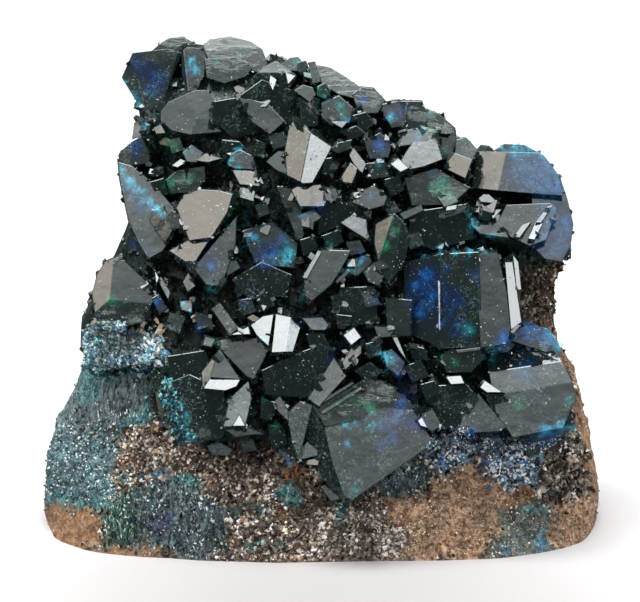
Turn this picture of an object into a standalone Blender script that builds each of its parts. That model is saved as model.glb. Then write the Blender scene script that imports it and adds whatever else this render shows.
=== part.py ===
"""Lazulite crystals grown on a piece of brown rock.

The specimen stands on one flat-cut underside and shows one face, which leans back a little.
Metres, +Z up, front towards -Y, origin at the middle of the underside.

Two pieces: the rock, built as a stack of rounded slices, and the crystals, each a flat-topped
faceted block laid out on a drawing sheet of the face and joined into one cluster.
"""

import math
import random
from collections import namedtuple

import bmesh
import bpy
from mathutils import Matrix, Vector, noise

MM = 0.001

# Driving dimensions
FACE_WIDTH = 70.0 * MM          # widest part of the face
FACE_LEAN = math.radians(15.0)  # the face leans back from upright by this much
FACE_FOOT = Vector((-0.137, -19.507, 0.0)) * MM  # middle of the foot of the face
CLEARANCE = 0.3 * MM            # gap between the rock and the crystals' crust
CRUST = 2.3 * MM                # the crystals' roots stand on the rock by this much
GRAIN_SIZE = 9.0 * MM           # spacing of the rock's lumps
GRAIN_HEIGHT = 0.9 * MM
LUMP_START = Vector((3.1, 0.7, 5.2))
SPECK = 0.003 * MM              # corners closer than this become one

# The drawing sheet: the face seen square on, in steps, x to the right and y down
SHEET_WIDTH = 556.0             # steps across the widest part of the face
STEP = FACE_WIDTH / SHEET_WIDTH
SHEET_MIDDLE = 322.0            # x of the middle of the face
SHEET_FOOT = 565.0              # y of the foot of the face

# The crystals' roots lie on a shallow dome over the face
DOME_CENTRE = (325.0, 320.0)
DOME_HALF = (250.0, 280.0)
DOME_TOP = 1.5 * MM
DOME_DROP = 5.0 * MM
ROOT = 6.0 * MM                 # how far a crystal reaches below the dome
FLARE = 0.14                    # a crystal widens by this much per unit of depth,
RIM_FLARE = -0.12               # or narrows if it stands at the edge of the face
EDGE_STARTS, EDGE_ENDS = 0.55, 0.90  # where that edge is, by distance off centre squared
LEAST_ROOT = 0.3                # a root is never narrower than this share of the top

Crystal = namedtuple("Crystal", "outline facing lift creases", defaults=[()])

# Facing: the way a crystal's top face tilts, as (clock angle on the sheet, tilt from square on),
# in degrees, with 0 to the right and 90 up
SKYWARD = (88, 32)
UPPER_LEFT = (137, 22)

# Each crystal: the outline of its top face, its facing, how many millimetres it stands above
# the dome, and its creases. A crease runs between two points and turns down what lies on its
# right-hand side by the angle given last
CRYSTALS = {
    "upper_left_blue": Crystal("120,76 131,51 144,53 166,47 181,51 172,74 160,104 142,112", (150, 7), 0.5,
        creases=["158,106 176,54 22", "122,78 142,108 42"]),
    "top_knob": Crystal("150,48 161,39 168,35 182,34 191,39 197,46 184,51 166,50", (95, 6), -1.0,
        creases=["196,45 163,43 5"]),
    "ice_window": Crystal("181,50 187,46 199,47 206,56 204,74 196,90 186,91 181,72", (60, 10), 1.5,
        creases=["184,56 188,90 38"]),
    "top_weathered": Crystal(
        "202,44 209,38 230,35 250,40 262,48 268,63 258,72 236,60 208,60",
        (85, 20), 0.3,
        creases=["206,50 256,47 8"]),
    "striated_under": Crystal("204,58 236,56 253,66 246,76 224,83 206,77", (85, 9), 0.6),
    "grey_trio": Crystal(
        "160,112 168,102 195,90 206,90 216,101 213,118 222,132 190,135 172,131 160,121",
        (60, 15), 2.5,
        creases=["191,90 196,118 8", "160,120 213,118 4"]),
    "black_flank": Crystal("214,102 236,98 263,132 234,139 212,119", (330, 24), 1.8),
    "blade_grey": Crystal("238,97 268,104 285,122 270,135 252,122", (112, 11), 2.6),
    "blade_shadow": Crystal("240,96 262,80 298,92 302,116 285,123 262,108", (330, 20), 1.2),
    "crown_peak": Crystal("252,78 263,67 276,60 287,70 297,76 289,90 273,94 260,88", (265, 14), 1.6,
        creases=["288,73 262,73 34"]),
    "peak_window_left": Crystal("270,75 277,80 273,92 269,83", SKYWARD, 2.6),
    "peak_window_right": Crystal("285,72 296,76 288,85", SKYWARD, 2.3),
    "grey_wedge": Crystal("294,91 303,85 313,88 316,95 310,103", (60, 15), 2.4),
    "pale_chip_top": Crystal("303,72 311,73 312,79 304,77", (120, 28), 2.0),
    "wedge_under": Crystal("298,98 310,103 320,98 318,126 303,128", (0, 20), 1.2),
    "top_grey_roof": Crystal("280,64 290,57 298,56 303,62 299,71 288,70", (110, 14), 0.2),
    "green_nub_top": Crystal("297,62 306,60 309,68 303,74 297,71", (60, 6), 1.0),
    "blue_prism": Crystal("308,62 315,61 321,82 312,84", (100, 10), 1.8),
    "ridge_weathered": Crystal("315,64 330,67 345,76 362,88 356,99 338,94 322,84", (80, 16), 0.3),
    "green_nub": Crystal("317,87 325,83 331,91 325,99 317,96", (60, 5), 2.2),
    "far_ridge": Crystal("352,94 362,87 373,88 385,101 378,113 360,114", (50, 14), 0.3),
    "teal_dark": Crystal("321,103 339,96 353,108 350,122 330,124 322,118", (95, 8), 1.6),
    "small_white_chip": Crystal("330,122 348,122 342,129", (90, 22), 2.4),
    "blue_top": Crystal("382,104 398,101 408,104 406,126 392,128 384,116", (80, 8), 0.5),
    "olive_top": Crystal("400,101 422,101 428,118 424,131 406,128", (20, 14), 0.4),
    "green_flank": Crystal("425,108 440,114 455,127 457,142 450,160 436,150 427,128", (60, 10), -0.5),
    "flank_chip": Crystal("444,122 451,134 440,134", UPPER_LEFT, 0.8),
    "lavender_upper": Crystal("398,147 404,131 420,128 437,130 435,142 416,143", (90, 17), 2.2),
    "lavender_lower": Crystal("401,160 412,143 436,140 442,160 424,167 405,171", (100, 22), 3.0),
    "white_spot": Crystal("390,165 398,159 408,169 400,173", SKYWARD, 4.6),
    "blue_gem": Crystal("364,141 380,133 391,145 388,158 370,159", (80, 6), 1.6),
    "twin_grey": Crystal("353,148 366,165 362,174 354,166 349,156", (115, 22), 2.6),
    "twin_pale": Crystal("341,178 350,163 357,170 352,184 343,183", (140, 27), 3.2),
    "split_face": Crystal("285,150 289,129 294,120 310,137 329,148 312,182 303,184 287,176", (145, 20), 4.0,
        creases=["301,181 310,136 45"]),
    "split_neighbour": Crystal("266,162 278,151 289,152 290,176 277,171", (100, 13), 1.8),
    "slab": Crystal("291,190 297,187 320,185 328,198 324,207 300,207", (118, 20), 3.4),
    "slab_side": Crystal("276,186 291,189 301,208 304,236 298,241 289,214", (95, 6), 2.0),
    "slab_crumb": Crystal("324,187 336,189 340,200 330,203", (120, 14), 2.3),
    "steel": Crystal("352,203 361,191 374,186 387,197 384,206 370,210", (72, 14), 3.2),
    "rose": Crystal("340,223 352,215 366,220 368,241 346,227", (98, 20), 3.2),
    "lantern": Crystal("376,225 394,214 403,222 409,238 403,264 388,283 378,262 374,242", (350, 6), 3.4,
        creases=["390,282 401,220 28", "394,214 378,262 26"]),
    "beige_square": Crystal("443,168 454,153 472,160 465,179", UPPER_LEFT, 2.6),
    "blue_nub": Crystal("456,140 466,137 478,150 472,161 455,153", (70, 14), 1.4),
    "shoulder_upper": Crystal("472,188 477,151 507,152 540,152 561,176 566,197 522,189", (128, 18), 2.0,
        creases=["499,188 507,151 12"]),
    "teal_crest": Crystal("494,150 505,143 525,144 545,155 562,178 548,172 515,157", (80, 9), 0.8),
    "shoulder_lower": Crystal("497,222 506,205 551,203 557,209 546,240 529,246 510,237", (85, 14), 2.4),
    "shoulder_slate": Crystal(
        "533,187 561,177 568,198 574,224 571,246 562,262 545,259 529,243",
        (84, 12), 1.9),
    "strip_a": Crystal("553,205 548,206 535,223 541,223", (20, 27), 3.7),
    "strip_b": Crystal("543,223 535,222 527,239 534,240", (75, 31), 3.6),
    "strip_c": Crystal("531,222 522,225 513,237 519,238", (20, 27), 3.8),
    "pale_pair_left": Crystal("474,212 485,199 497,201 493,213 484,215", (125, 27), 3.2),
    "pale_pair_right": Crystal("489,209 501,210 492,220", (105, 26), 3.4),
    "ice_crumb": Crystal("474,216 490,214 502,226 508,238 480,234 472,226", (90, 15), 1.8),
    "hollow_a": Crystal("404,178 436,168 470,188 452,204 412,206", (90, 6), 1.0),
    "hollow_b": Crystal("412,212 466,204 474,238 432,250 408,236", (300, 12), 1.0),
    "stick_a": Crystal("399,214 420,205 423,211 404,220", (110, 12), 2.4),
    "stick_b": Crystal("434,216 464,204 467,211 442,219", (110, 9), 2.2),
    "tall_blue": Crystal("405,264 440,254 478,252 482,347 440,348 405,330", (270, 3), 2.4,
        creases=["440,254 440,348 20"]),
    "tall_grey": Crystal("474,254 497,252 506,290 510,328 506,344 480,347 478,300", (80, 9), 2.9),
    "tall_strip": Crystal("504,262 512,262 521,322 510,330", (12, 27), 3.4),
    "tall_strip_small": Crystal("512,254 518,262 521,290 516,290", (12, 27), 2.9),
    "tall_foot": Crystal("508,326 520,325 511,336", UPPER_LEFT, 3.8),
    "banded": Crystal(
        "487,362 497,347 520,336 545,338 560,358 571,380 576,398 567,413 562,427 512,437 495,412 506,394 490,373",
        (84, 16), 3.4,
        creases=["562,361 489,372 30", "505,393 571,382 6", "508,417 570,412 9"]),
    "blue_saddle": Crystal("508,340 514,329 532,324 548,329 559,344 563,357 545,352 524,345", (80, 9), 0.9),
    "banded_blue_foot": Crystal("519,436 556,429 578,424 562,440 541,453 529,459", (85, 5), -0.5),
    "dark_triangle": Crystal("478,393 506,426 500,431 456,433 463,414", (100, 10), 3.0),
    "triangle_tip": Crystal("484,380 502,392 486,392 479,387", SKYWARD, 4.0),
    "triangle_lines": Crystal("484,393 502,394 513,404 493,413", (300, 18), 3.2),
    "little_white": Crystal("445,376 460,375 464,383 450,384", SKYWARD, 3.6),
    "under_white": Crystal("438,385 466,384 478,398 460,430 440,424 430,400", (250, 8), 2.2),
    "banded_left_a": Crystal("440,356 450,349 478,346 484,358 470,372 446,372", (90, 3), 1.8),
    "big_plate": Crystal(
        "324,427 345,417 385,407 417,410 432,443 402,461 370,474 352,499 344,495 332,462",
        (90, 10), 3.8),
    "plate_roof": Crystal("312,406 366,378 382,380 404,396 417,409 385,407 345,417 325,426", (60, 8), 2.6),
    "plate_flank": Crystal("312,406 324,427 334,456 345,497 322,478 303,430", (205, 26), 2.4),
    "violet_chip": Crystal("421,414 432,409 441,425 431,431 422,424", (80, 11), 4.2),
    "white_crumb": Crystal("417,420 421,416 427,427 420,425", SKYWARD, 4.6),
    "olive_plate": Crystal("304,279 321,250 351,251 340,271 331,285 312,301 305,296", (82, 10), 4.2),
    "olive_strip_left": Crystal("318,250 322,252 307,279 302,278", (115, 26), 4.4),
    "olive_strip_right": Crystal("348,269 350,272 337,284 335,281", (80, 10), 3.8),
    "olive_neighbour": Crystal("363,272 374,262 384,276 379,286 368,282", (110, 9), 2.6),
    "cyan_ledge": Crystal("345,262 368,254 372,262 358,276 344,272", (60, 8), 2.2),
    "pair_left": Crystal("251,325 263,316 274,314 269,346 257,335", (90, 30), 3.6),
    "pair_right": Crystal("276,314 291,317 300,328 293,351 272,352", (86, 31), 4.0,
        creases=["285,354 291,314 14"]),
    "pale_wedge": Crystal("230,335 249,326 251,334", SKYWARD, 4.4),
    "plate_mid": Crystal("215,343 231,336 258,338 269,350 260,366 254,379 247,376 236,360", (102, 11), 2.8),
    "pyramid_front": Crystal("220,348 241,379 211,377", (75, 15), 3.6),
    "pyramid_left": Crystal("219,350 211,377 203,388 202,372", (120, 16), 3.0),
    "pyramid_white": Crystal("211,377 241,379 237,386 226,390 204,388", SKYWARD, 4.2),
    "lavender_tall": Crystal("249,380 252,398 244,409 246,425 224,426 230,398", (98, 18), 4.0),
    "tall_white_tip": Crystal("240,413 246,425 233,425", SKYWARD, 5.4),
    "tall_base": Crystal("222,427 248,426 263,433 236,436", (90, 9), 3.6),
    "lower_left_black": Crystal("168,356 206,350 214,376 200,390 172,386", (250, 12), 1.8),
    "lower_left_block": Crystal("165,384 190,374 224,390 230,424 222,437 192,444 179,424", (235, 14), 2.2),
    "foot_pebble": Crystal("207,445 218,441 233,449 228,456 212,455", (90, 8), -0.5),
    "white_square": Crystal("343,335 354,327 361,337 351,345", (92, 30), 4.4),
    "beam_upper": Crystal("342,362 352,346 362,341 361,353 345,370", (118, 17), 3.8),
    "beam_lower": Crystal("308,398 331,371 334,357 346,376 319,406", (110, 16), 3.6),
    "column_left": Crystal("271,404 280,395 288,408 289,421", (110, 14), 2.4),
    "column": Crystal("287,413 300,401 313,404 305,424 300,441 299,459 292,441", (110, 10), 3.0),
    "toe_small": Crystal("299,450 308,440 318,447 318,455 300,459", (100, 14), 2.0),
    "toe_pale": Crystal("302,460 320,457 318,465 305,464", (130, 20), 2.2),
    "black_plate": Crystal(
        "262,370 300,352 328,342 336,360 331,372 308,397 288,396 266,394",
        (300, 12), 2.4),
    "toe_dark": Crystal("320,486 335,480 346,497 331,501", (90, 10), 0.6),
    "toe_teal": Crystal("347,490 360,482 368,489 353,501", (100, 14), 0.6),
    "left_beam": Crystal(
        "118,162 132,166 150,180 172,205 182,220 172,238 163,251 149,259 140,245 129,222 120,182",
        (112, 13), 1.6),
    "beam_facet": Crystal("150,221 153,211 163,206 173,231 165,243", (150, 14), 2.8),
    "beam_disc": Crystal("166,216 172,210 182,216 181,229 171,229", (110, 8), 2.7),
    "beige_head": Crystal(
        "177,208 184,196 201,190 219,191 233,195 228,213 212,238 190,241 186,228",
        UPPER_LEFT, 4.0),
    "beige_foot": Crystal("190,240 212,237 193,267 170,251", UPPER_LEFT, 3.85),
    "violet_flank": Crystal("194,268 230,231 237,216 236,245 222,286 207,285", (70, 11), 3.0),
    "left_mid": Crystal("118,153 130,142 141,135 149,151 150,163 130,166 118,166", (150, 12), 0.8,
        creases=["130,166 132,139 15"]),
    "left_rim": Crystal("133,122 138,119 146,124 141,135 131,139", (150, 16), -0.6),
    "slate_small": Crystal("183,153 192,145 204,153 197,163 187,162", (80, 14), 2.8),
    "slate_pale": Crystal("196,161 205,154 223,159 208,163", (130, 27), 3.1),
    "slate_white": Crystal("172,166 181,159 188,162 178,168", (95, 30), 3.0),
    "green_block": Crystal("166,180 178,170 205,166 206,180 196,192 172,194", (90, 5), 1.4),
    "ice_head": Crystal("228,166 232,154 240,150 252,156 257,170 236,169", (100, 10), 2.8),
    "ice_pale": Crystal("232,170 256,172 260,187 240,185", (130, 27), 3.3),
    "ice_tail": Crystal("236,185 250,187 263,200 248,197", (90, 21), 2.4),
    "left_big": Crystal(
        "92,294 97,274 105,262 120,256 146,281 154,300 145,321 125,318 104,333 96,318",
        (95, 11), 1.8,
        creases=["114,258 107,330 11", "98,298 152,304 10"]),
    "left_low": Crystal("86,330 92,318 100,318 104,334 90,342", (120, 17), -0.6),
    "left_crumble": Crystal("89,345 104,334 140,330 160,346 150,362 106,365 90,360", (110, 10), 0.0),
    "sliver_white": Crystal("155,269 160,278 157,285", SKYWARD, 3.6),
    "sliver_grey": Crystal("158,280 162,277 171,292 169,300", (120, 16), 3.0),
    "bar": Crystal("212,309 220,302 239,328 230,335", (120, 13), 2.8),
    "bar_end": Crystal("206,336 216,339 212,347 203,345", (100, 17), 3.2),
    "steel_flat": Crystal("302,318 322,317 329,325 325,330 312,330", (70, 16), 3.4),
    "olive_low": Crystal("374,326 392,327 395,336 378,338", (100, 10), 2.6),
    "cyan_sliver": Crystal("392,338 397,337 407,361 399,351", (60, 26), 3.6),
    "cyan_gem": Crystal("383,352 392,349 405,362 398,376 386,366", (80, 8), 3.0),
    "centre_dark_a": Crystal("232,280 262,262 292,275 286,296 250,300", (300, 10), 2.0),
    "centre_dark_b": Crystal("243,232 272,222 298,244 294,268 256,264", (60, 6), 1.8),
    "centre_dark_c": Crystal("318,205 346,203 372,214 345,222 318,235", (280, 14), 1.6),
    "centre_dark_d": Crystal("340,288 374,286 378,322 352,326 334,308", (300, 10), 2.0),
    "right_dark_a": Crystal("385,298 412,300 410,336 388,336", (60, 4), 2.2),
    "chip_1": Crystal("153,128 161,124 166,133 156,134", (115, 18), 2.0),
    "chip_2": Crystal("141,121 150,124 148,134 139,131", (60, 5), 0.8),
    "chip_3": Crystal("150,168 158,170 158,175 148,174", SKYWARD, 1.6),
    "chip_4": Crystal("146,160 153,163 151,167 145,166", (100, 6), 1.4),
    "chip_5": Crystal("255,205 266,202 270,214 259,218", (95, 4), 2.2),
    "chip_6": Crystal("243,186 256,190 254,202 240,198", (90, 22), 3.2),
    "chip_7": Crystal("263,222 272,226 268,236 259,232", (100, 18), 1.8),
    "chip_8": Crystal("221,262 235,258 241,268 228,276", (95, 9), 2.4),
    "chip_9": Crystal("240,278 256,284 250,296 236,292", (280, 9), 2.0),
    "chip_10": Crystal("180,301 193,300 192,312 182,310", (95, 19), 1.8),
    "chip_11": Crystal("183,282 189,272 196,286 188,292", (110, 17), 2.0),
    "chip_12": Crystal("196,312 212,316 214,330 198,328", (60, 6), 1.8),
    "chip_13": Crystal("152,298 160,294 168,308 160,314", (40, 9), 1.6),
    "chip_14": Crystal("170,312 186,316 180,334 166,328", (80, 6), 1.4),
    "chip_15": Crystal("238,300 252,298 256,312 242,316", (90, 3), 2.2),
    "chip_16": Crystal("256,296 268,292 274,306 262,312", (270, 14), 2.2),
    "chip_17": Crystal("330,150 339,143 352,140 349,150 338,154", (90, 4), 2.2),
    "chip_18": Crystal("320,160 332,158 336,172 324,176", (300, 16), 2.4),
    "chip_19": Crystal("366,164 384,162 390,176 372,180", (20, 10), 2.4),
    "chip_20": Crystal("340,132 356,126 366,134 352,140", (280, 12), 1.8),
    "chip_21": Crystal("352,116 366,112 374,124 362,132", (280, 8), 1.4),
    "chip_22": Crystal("268,136 284,132 288,146 274,150", (80, 5), 2.0),
    "chip_23": Crystal("222,140 240,142 250,154 236,158 224,152", (280, 8), 1.8),
    "chip_24": Crystal("256,140 266,144 264,158 254,156", (300, 12), 1.8),
    "chip_25": Crystal("168,140 180,137 184,150 172,154", (80, 5), 1.6),
    "chip_26": Crystal("150,182 164,178 168,194 158,200", (290, 10), 1.2),
    "chip_27": Crystal("300,215 314,209 322,218 308,226", (75, 12), 2.2),
    "chip_28": Crystal("322,236 338,230 344,242 330,250", (290, 14), 2.4),
    "chip_29": Crystal("300,240 314,236 318,250 304,256", (290, 10), 2.2),
    "chip_30": Crystal("346,242 360,240 366,252 350,256", (60, 7), 2.2),
    "chip_31": Crystal("404,236 418,232 424,244 410,250", (30, 9), 1.8),
    "chip_32": Crystal("436,196 450,192 458,202 444,208", (110, 16), 1.8),
    "chip_33": Crystal("384,180 398,176 404,190 390,196", (280, 12), 2.2),
    "chip_34": Crystal("384,206 394,202 400,212 388,216", (100, 5), 2.4),
    "chip_35": Crystal("330,296 342,292 348,306 334,312", (280, 12), 2.6),
    "chip_36": Crystal("336,314 352,316 350,326 338,328", (280, 12), 2.4),
    "chip_37": Crystal("306,334 322,332 328,344 310,348", (280, 10), 3.0),
    "chip_38": Crystal("360,292 374,290 380,304 366,308", (60, 8), 2.4),
    "chip_39": Crystal("364,344 378,340 382,354 368,358", (290, 12), 2.8),
    "chip_40": Crystal("404,366 420,360 428,376 412,382", (280, 10), 2.6),
    "chip_41": Crystal("408,344 424,348 428,360 412,358", (280, 10), 2.4),
    "chip_42": Crystal("420,384 434,380 440,392 426,400", (280, 10), 2.8),
    "chip_43": Crystal("354,370 370,362 382,372 366,380", (300, 12), 3.0),
    "chip_44": Crystal("238,434 252,437 258,450 244,452", (90, 6), 0.8),
    "chip_45": Crystal("262,398 276,402 272,420 260,418", (280, 10), 2.2),
    "chip_46": Crystal("268,424 284,426 288,444 272,446", (280, 10), 1.4),
    "chip_47": Crystal("310,434 320,442 326,460 314,456", (200, 12), 1.8),
    "chip_48": Crystal("318,462 328,466 332,480 322,482", (240, 14), 1.2),
    "chip_49": Crystal("436,436 450,432 462,440 448,448", (85, 15), 0.6),
    "chip_50": Crystal("480,434 496,432 504,442 486,446", (95, 8), 0.6),
    "line_1": Crystal("320,411 366,382 368,385 323,414", (100, 12), 3.4),
    "line_2": Crystal("316,403 352,381 353,384 318,406", (110, 12), 3.9),
    "line_3": Crystal("437,281 440,280 440,330 438,330", (20, 24), 2.9),
    "line_6": Crystal("455,350 480,347 480,350 457,353", (90, 11), 2.6),
}

# The rock's slices, the first below the underside: how far up each is, and its left, right,
# front and back, in millimetres
ROCK_SLICES = [
    (-0.14, -35.2, 34.8, 0.3, 42.9),
    (0.00, -35.7, 35.3, 1.3, 43.2),
    (0.07, -36.2, 35.8, 2.0, 43.4),
    (0.14, -36.0, 35.9, 3.0, 43.4),
    (0.21, -35.2, 35.8, 4.1, 43.2),
    (0.28, -34.0, 35.5, 5.3, 42.8),
    (0.36, -31.9, 34.9, 6.7, 42.3),
    (0.44, -30.6, 34.1, 8.1, 41.9),
    (0.52, -29.2, 33.1, 9.5, 41.2),
    (0.61, -26.2, 31.5, 11.2, 40.3),
    (0.70, -22.9, 30.5, 12.8, 39.2),
    (0.79, -21.2, 30.2, 14.4, 37.8),
    (0.87, -20.6, 31.2, 15.9, 36.0),
    (0.95, -19.8, 28.6, 17.6, 33.5),
    (1.00, -16.5, 24.0, 20.5, 30.0),
]
ROCK_CORNERS = 3.0              # 2 would make the slices round, more makes them squarer
SLICE_POINTS = 54
# The rock's top edge, left to right: x and height in millimetres
ROCK_TOP = [(-36, 49), (-26, 54), (-20, 56.5), (-8, 57), (0, 54.5),
            (8, 52.5), (14, 50), (20, 45.5), (28, 42), (36, 38)]
TOP_FALL = 0.30                 # the top falls towards the back by this much

# Broken faces of the rock: a point on each and the way it faces, in millimetres
BREAKS = [
    ((34.8, 13.0, 10.0), (0.80, -0.58, 0.16)),      # right flank
    ((-31.0, 7.0, 0.0), (-0.60, -0.76, 0.14)),      # lower left corner
    ((31.0, 36.0, 20.0), (0.78, 0.60, 0.16)),
    ((27.0, 38.5, 34.0), (0.48, 0.74, 0.46)),
    ((-28.0, 36.0, 12.0), (-0.78, 0.60, 0.14)),
    ((-22.0, 36.0, 38.0), (-0.52, 0.76, 0.38)),
    ((8.0, 41.3, 12.0), (0.06, 1.00, 0.02)),
    ((2.0, 38.2, 40.0), (-0.10, 0.92, 0.36)),
    ((-12.0, 40.2, 24.0), (-0.30, 0.92, 0.10)),
    ((4.0, 32.0, 52.0), (0.05, 0.62, 0.78)),
]

# The crust's edge on the sheet. It stops short of the rock's bare right shoulder
CRUST_OUTLINE = ("60,342 66,300 80,255 104,230 108,150 104,70 160,20 270,24 350,60 440,88 486,124 560,132 "
                 "592,200 592,256 556,262 524,268 520,330 546,332 576,380 574,424 562,436 500,442 440,442 "
                 "400,462 352,494 322,472 298,460 262,440 222,442 186,440 160,425 152,382 140,348 100,366")
CRUST_FRONT = 12.0 * MM
CRUST_BACK = -15.0 * MM         # how far back the crust wraps round the top and sides

# The crystals' silhouette on the sheet, which the small ones round the rim keep inside
SILHOUETTE = ("120,76 132,56 162,37 202,40 230,35 262,47 314,61 360,86 423,102 462,136 504,144 541,151 "
              "562,178 574,235 562,272 556,325 570,385 574,424 400,462 322,472 222,442 160,425 82,360 "
              "80,328 91,295 96,270 121,252 130,222 117,165 136,119")
RIM_CRYSTALS = 64
RIM_SEED = 7
RIM_RADIUS = (1.7 * MM, 3.6 * MM)
RIM_HEIGHT = (1.0 * MM, 3.2 * MM)
RIM_FACING = 0.45               # crust that faces further forward than this has no rim crystals
RIM_ROOT = 3.0 * MM
RIM_LEAN = (-0.2, 0.7)          # they lean from the crust's own normal towards the front
RIM_CORNERS = (4, 5, 6, 6)
RIM_LONG = (1.0, 1.5)
RIM_SKEW = 0.25                 # unevenness of their corners
RIM_TILT = (5, 32)              # tilt of their tops, in degrees
RIM_ROOM = 0.9                  # no two stand closer than this many radii
RIM_TRIES = 12
SMALL_FACE = 0.2 * MM * MM      # crust faces smaller than this carry none

MATERIALS = {
    "brown rock": ((0.16, 0.105, 0.075, 1), 0.85),
    "dark blue lazulite": ((0.012, 0.035, 0.070, 1), 0.18),
}


def sheet_point(text):
    """Turn 'x,y' on the sheet into metres across and up the face."""
    x, y = (float(part) for part in text.split(","))
    return Vector(((x - SHEET_MIDDLE) * STEP, (SHEET_FOOT - y) * STEP))


def along_face(across, up, out):
    """Turn a step across, up and out of the leaning face into the object's own axes."""
    sine, cosine = math.sin(FACE_LEAN), math.cos(FACE_LEAN)
    return Vector((across, up * sine - out * cosine, up * cosine + out * sine))


FACE_AXES = Matrix([along_face(1, 0, 0), along_face(0, 1, 0), along_face(0, 0, 1)]).transposed().to_4x4()
FACE_AXES.translation = FACE_FOOT


def off_centre(spot):
    """How far a spot is from the middle of the dome, squared: 0 there and about 1 at the edge."""
    across = (spot.x / STEP + SHEET_MIDDLE - DOME_CENTRE[0]) / DOME_HALF[0]
    up = (SHEET_FOOT - spot.y / STEP - DOME_CENTRE[1]) / DOME_HALF[1]
    return across * across + up * up


def dome_height(spot):
    """Height of the growth dome above the plane of the face."""
    return DOME_TOP - DOME_DROP * off_centre(spot) ** 2


def cut_away(shape, point, normal):
    """Slice a closed shape with a plane, drop what is in front of it and close the cut."""
    everything = shape.verts[:] + shape.edges[:] + shape.faces[:]
    cut = bmesh.ops.bisect_plane(shape, geom=everything, plane_co=point, plane_no=normal, clear_outer=True)
    rim = [item for item in cut["geom_cut"] if isinstance(item, bmesh.types.BMEdge)]
    if rim:
        bmesh.ops.contextual_create(shape, geom=rim)


def face_direction(clock, tilt):
    clock, tilt = math.radians(clock), math.radians(tilt)
    return Vector((math.sin(tilt) * math.cos(clock), math.sin(tilt) * math.sin(clock), math.cos(tilt)))


def block(outline, normal, height, depth, flare):
    """A convex block: a tilted top over an outline, with walls that spread or draw in below it."""
    centre = sum(outline, Vector((0, 0))) / len(outline)
    radius = sum((spot - centre).length for spot in outline) / len(outline)
    spread = max(LEAST_ROOT, 1 + flare * depth / radius)
    shape = bmesh.new()
    for spot in outline:
        shape.verts.new(on_top(spot, centre, normal, height))
        root = on_top(centre + (spot - centre) * spread, centre, normal, height)
        shape.verts.new(root - Vector((0, 0, depth)))
    bmesh.ops.convex_hull(shape, input=shape.verts)
    loose = [vert for vert in shape.verts if not vert.link_faces]
    bmesh.ops.delete(shape, geom=loose, context="VERTS")
    return shape


def on_top(spot, centre, normal, height):
    """Lift a spot on to the plane through the centre at this height, square to the normal."""
    offset = spot - centre
    return Vector((spot.x, spot.y, height - (offset.x * normal.x + offset.y * normal.y) / normal.z))


def set_down(shape, axes):
    """Clean a block and move it from its own axes into the object's."""
    bmesh.ops.remove_doubles(shape, verts=shape.verts, dist=0.02 * MM)
    bmesh.ops.dissolve_limit(shape, angle_limit=math.radians(0.5), verts=shape.verts, edges=shape.edges)
    bmesh.ops.transform(shape, matrix=axes, verts=shape.verts)
    bmesh.ops.recalc_face_normals(shape, faces=shape.faces)
    return shape


def face_crystal(crystal):
    """A crystal of the face, with its creases cut."""
    outline = [sheet_point(text) for text in crystal.outline.split()]
    centre = sum(outline, Vector((0, 0))) / len(outline)
    normal = face_direction(*crystal.facing)
    height = dome_height(centre) + crystal.lift * MM
    edge_share = min(1.0, max(0.0, (off_centre(centre) - EDGE_STARTS) / (EDGE_ENDS - EDGE_STARTS)))
    flare = FLARE + (RIM_FLARE - FLARE) * edge_share
    shape = block(outline, normal, height, crystal.lift * MM + ROOT, flare)
    for crease in crystal.creases:
        start, end, angle = crease.split()
        start = on_top(sheet_point(start), centre, normal, height)
        end = on_top(sheet_point(end), centre, normal, height)
        along = (end - start).normalized()
        cut_away(shape, start, Matrix.Rotation(math.radians(float(angle)), 3, along) @ normal)
    return set_down(shape, FACE_AXES)


def inside(spot, outline):
    """Whether a spot on the sheet lies inside an outline."""
    hit = False
    for one, two in zip(outline, outline[1:] + outline[:1]):
        if (one.y > spot.y) != (two.y > spot.y):
            if spot.x < one.x + (two.x - one.x) * (spot.y - one.y) / (two.y - one.y):
                hit = not hit
    return hit


def rim_crystals(crust):
    """Small crystals on the crust's top and sides, seeded, inside the face's silhouette."""
    chance = random.Random(RIM_SEED)
    outline = [sheet_point(text) for text in SILHOUETTE.split()]
    to_face = FACE_AXES.inverted()
    out = along_face(0, 0, 1)
    crust.normal_update()
    spots = [face for face in crust.faces if face.normal.dot(out) < RIM_FACING
             and CRUST_BACK < (to_face @ face.calc_center_median()).z and face.calc_area() > SMALL_FACE]
    spots.sort(key=lambda face: tuple(face.calc_center_median()))
    areas = [face.calc_area() for face in spots]
    made = []
    for attempt in range(RIM_CRYSTALS * RIM_TRIES):
        face = chance.choices(spots, areas)[0]
        place = face.calc_center_median()
        axis = (face.normal + out * chance.uniform(*RIM_LEAN)).normalized()
        axes = Matrix.Translation(place) @ axis.to_track_quat("Z", "Y").to_matrix().to_4x4()
        axes = axes @ Matrix.Rotation(chance.uniform(0, 2 * math.pi), 4, "Z")
        radius = chance.uniform(*RIM_RADIUS)
        corners = chance.choice(RIM_CORNERS)
        long = chance.uniform(*RIM_LONG)
        turns = [2 * math.pi * (step + chance.uniform(-RIM_SKEW, RIM_SKEW)) / corners for step in range(corners)]
        ring = [Vector((radius * long * math.cos(turn), radius * math.sin(turn))) for turn in turns]
        height = chance.uniform(*RIM_HEIGHT)
        normal = face_direction(chance.uniform(0, 360), chance.uniform(*RIM_TILT))
        tips = [to_face @ (axes @ on_top(spot, Vector((0, 0)), normal, height)) for spot in ring]
        crowded = any((place - other).length < RIM_ROOM * radius for other, _ in made)
        if crowded or not all(inside(tip.xy, outline) for tip in tips):
            continue
        made.append((place, set_down(block(ring, normal, height, height + RIM_ROOT, FLARE), axes)))
        if len(made) == RIM_CRYSTALS:
            break
    return [shape for _, shape in made]


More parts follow.
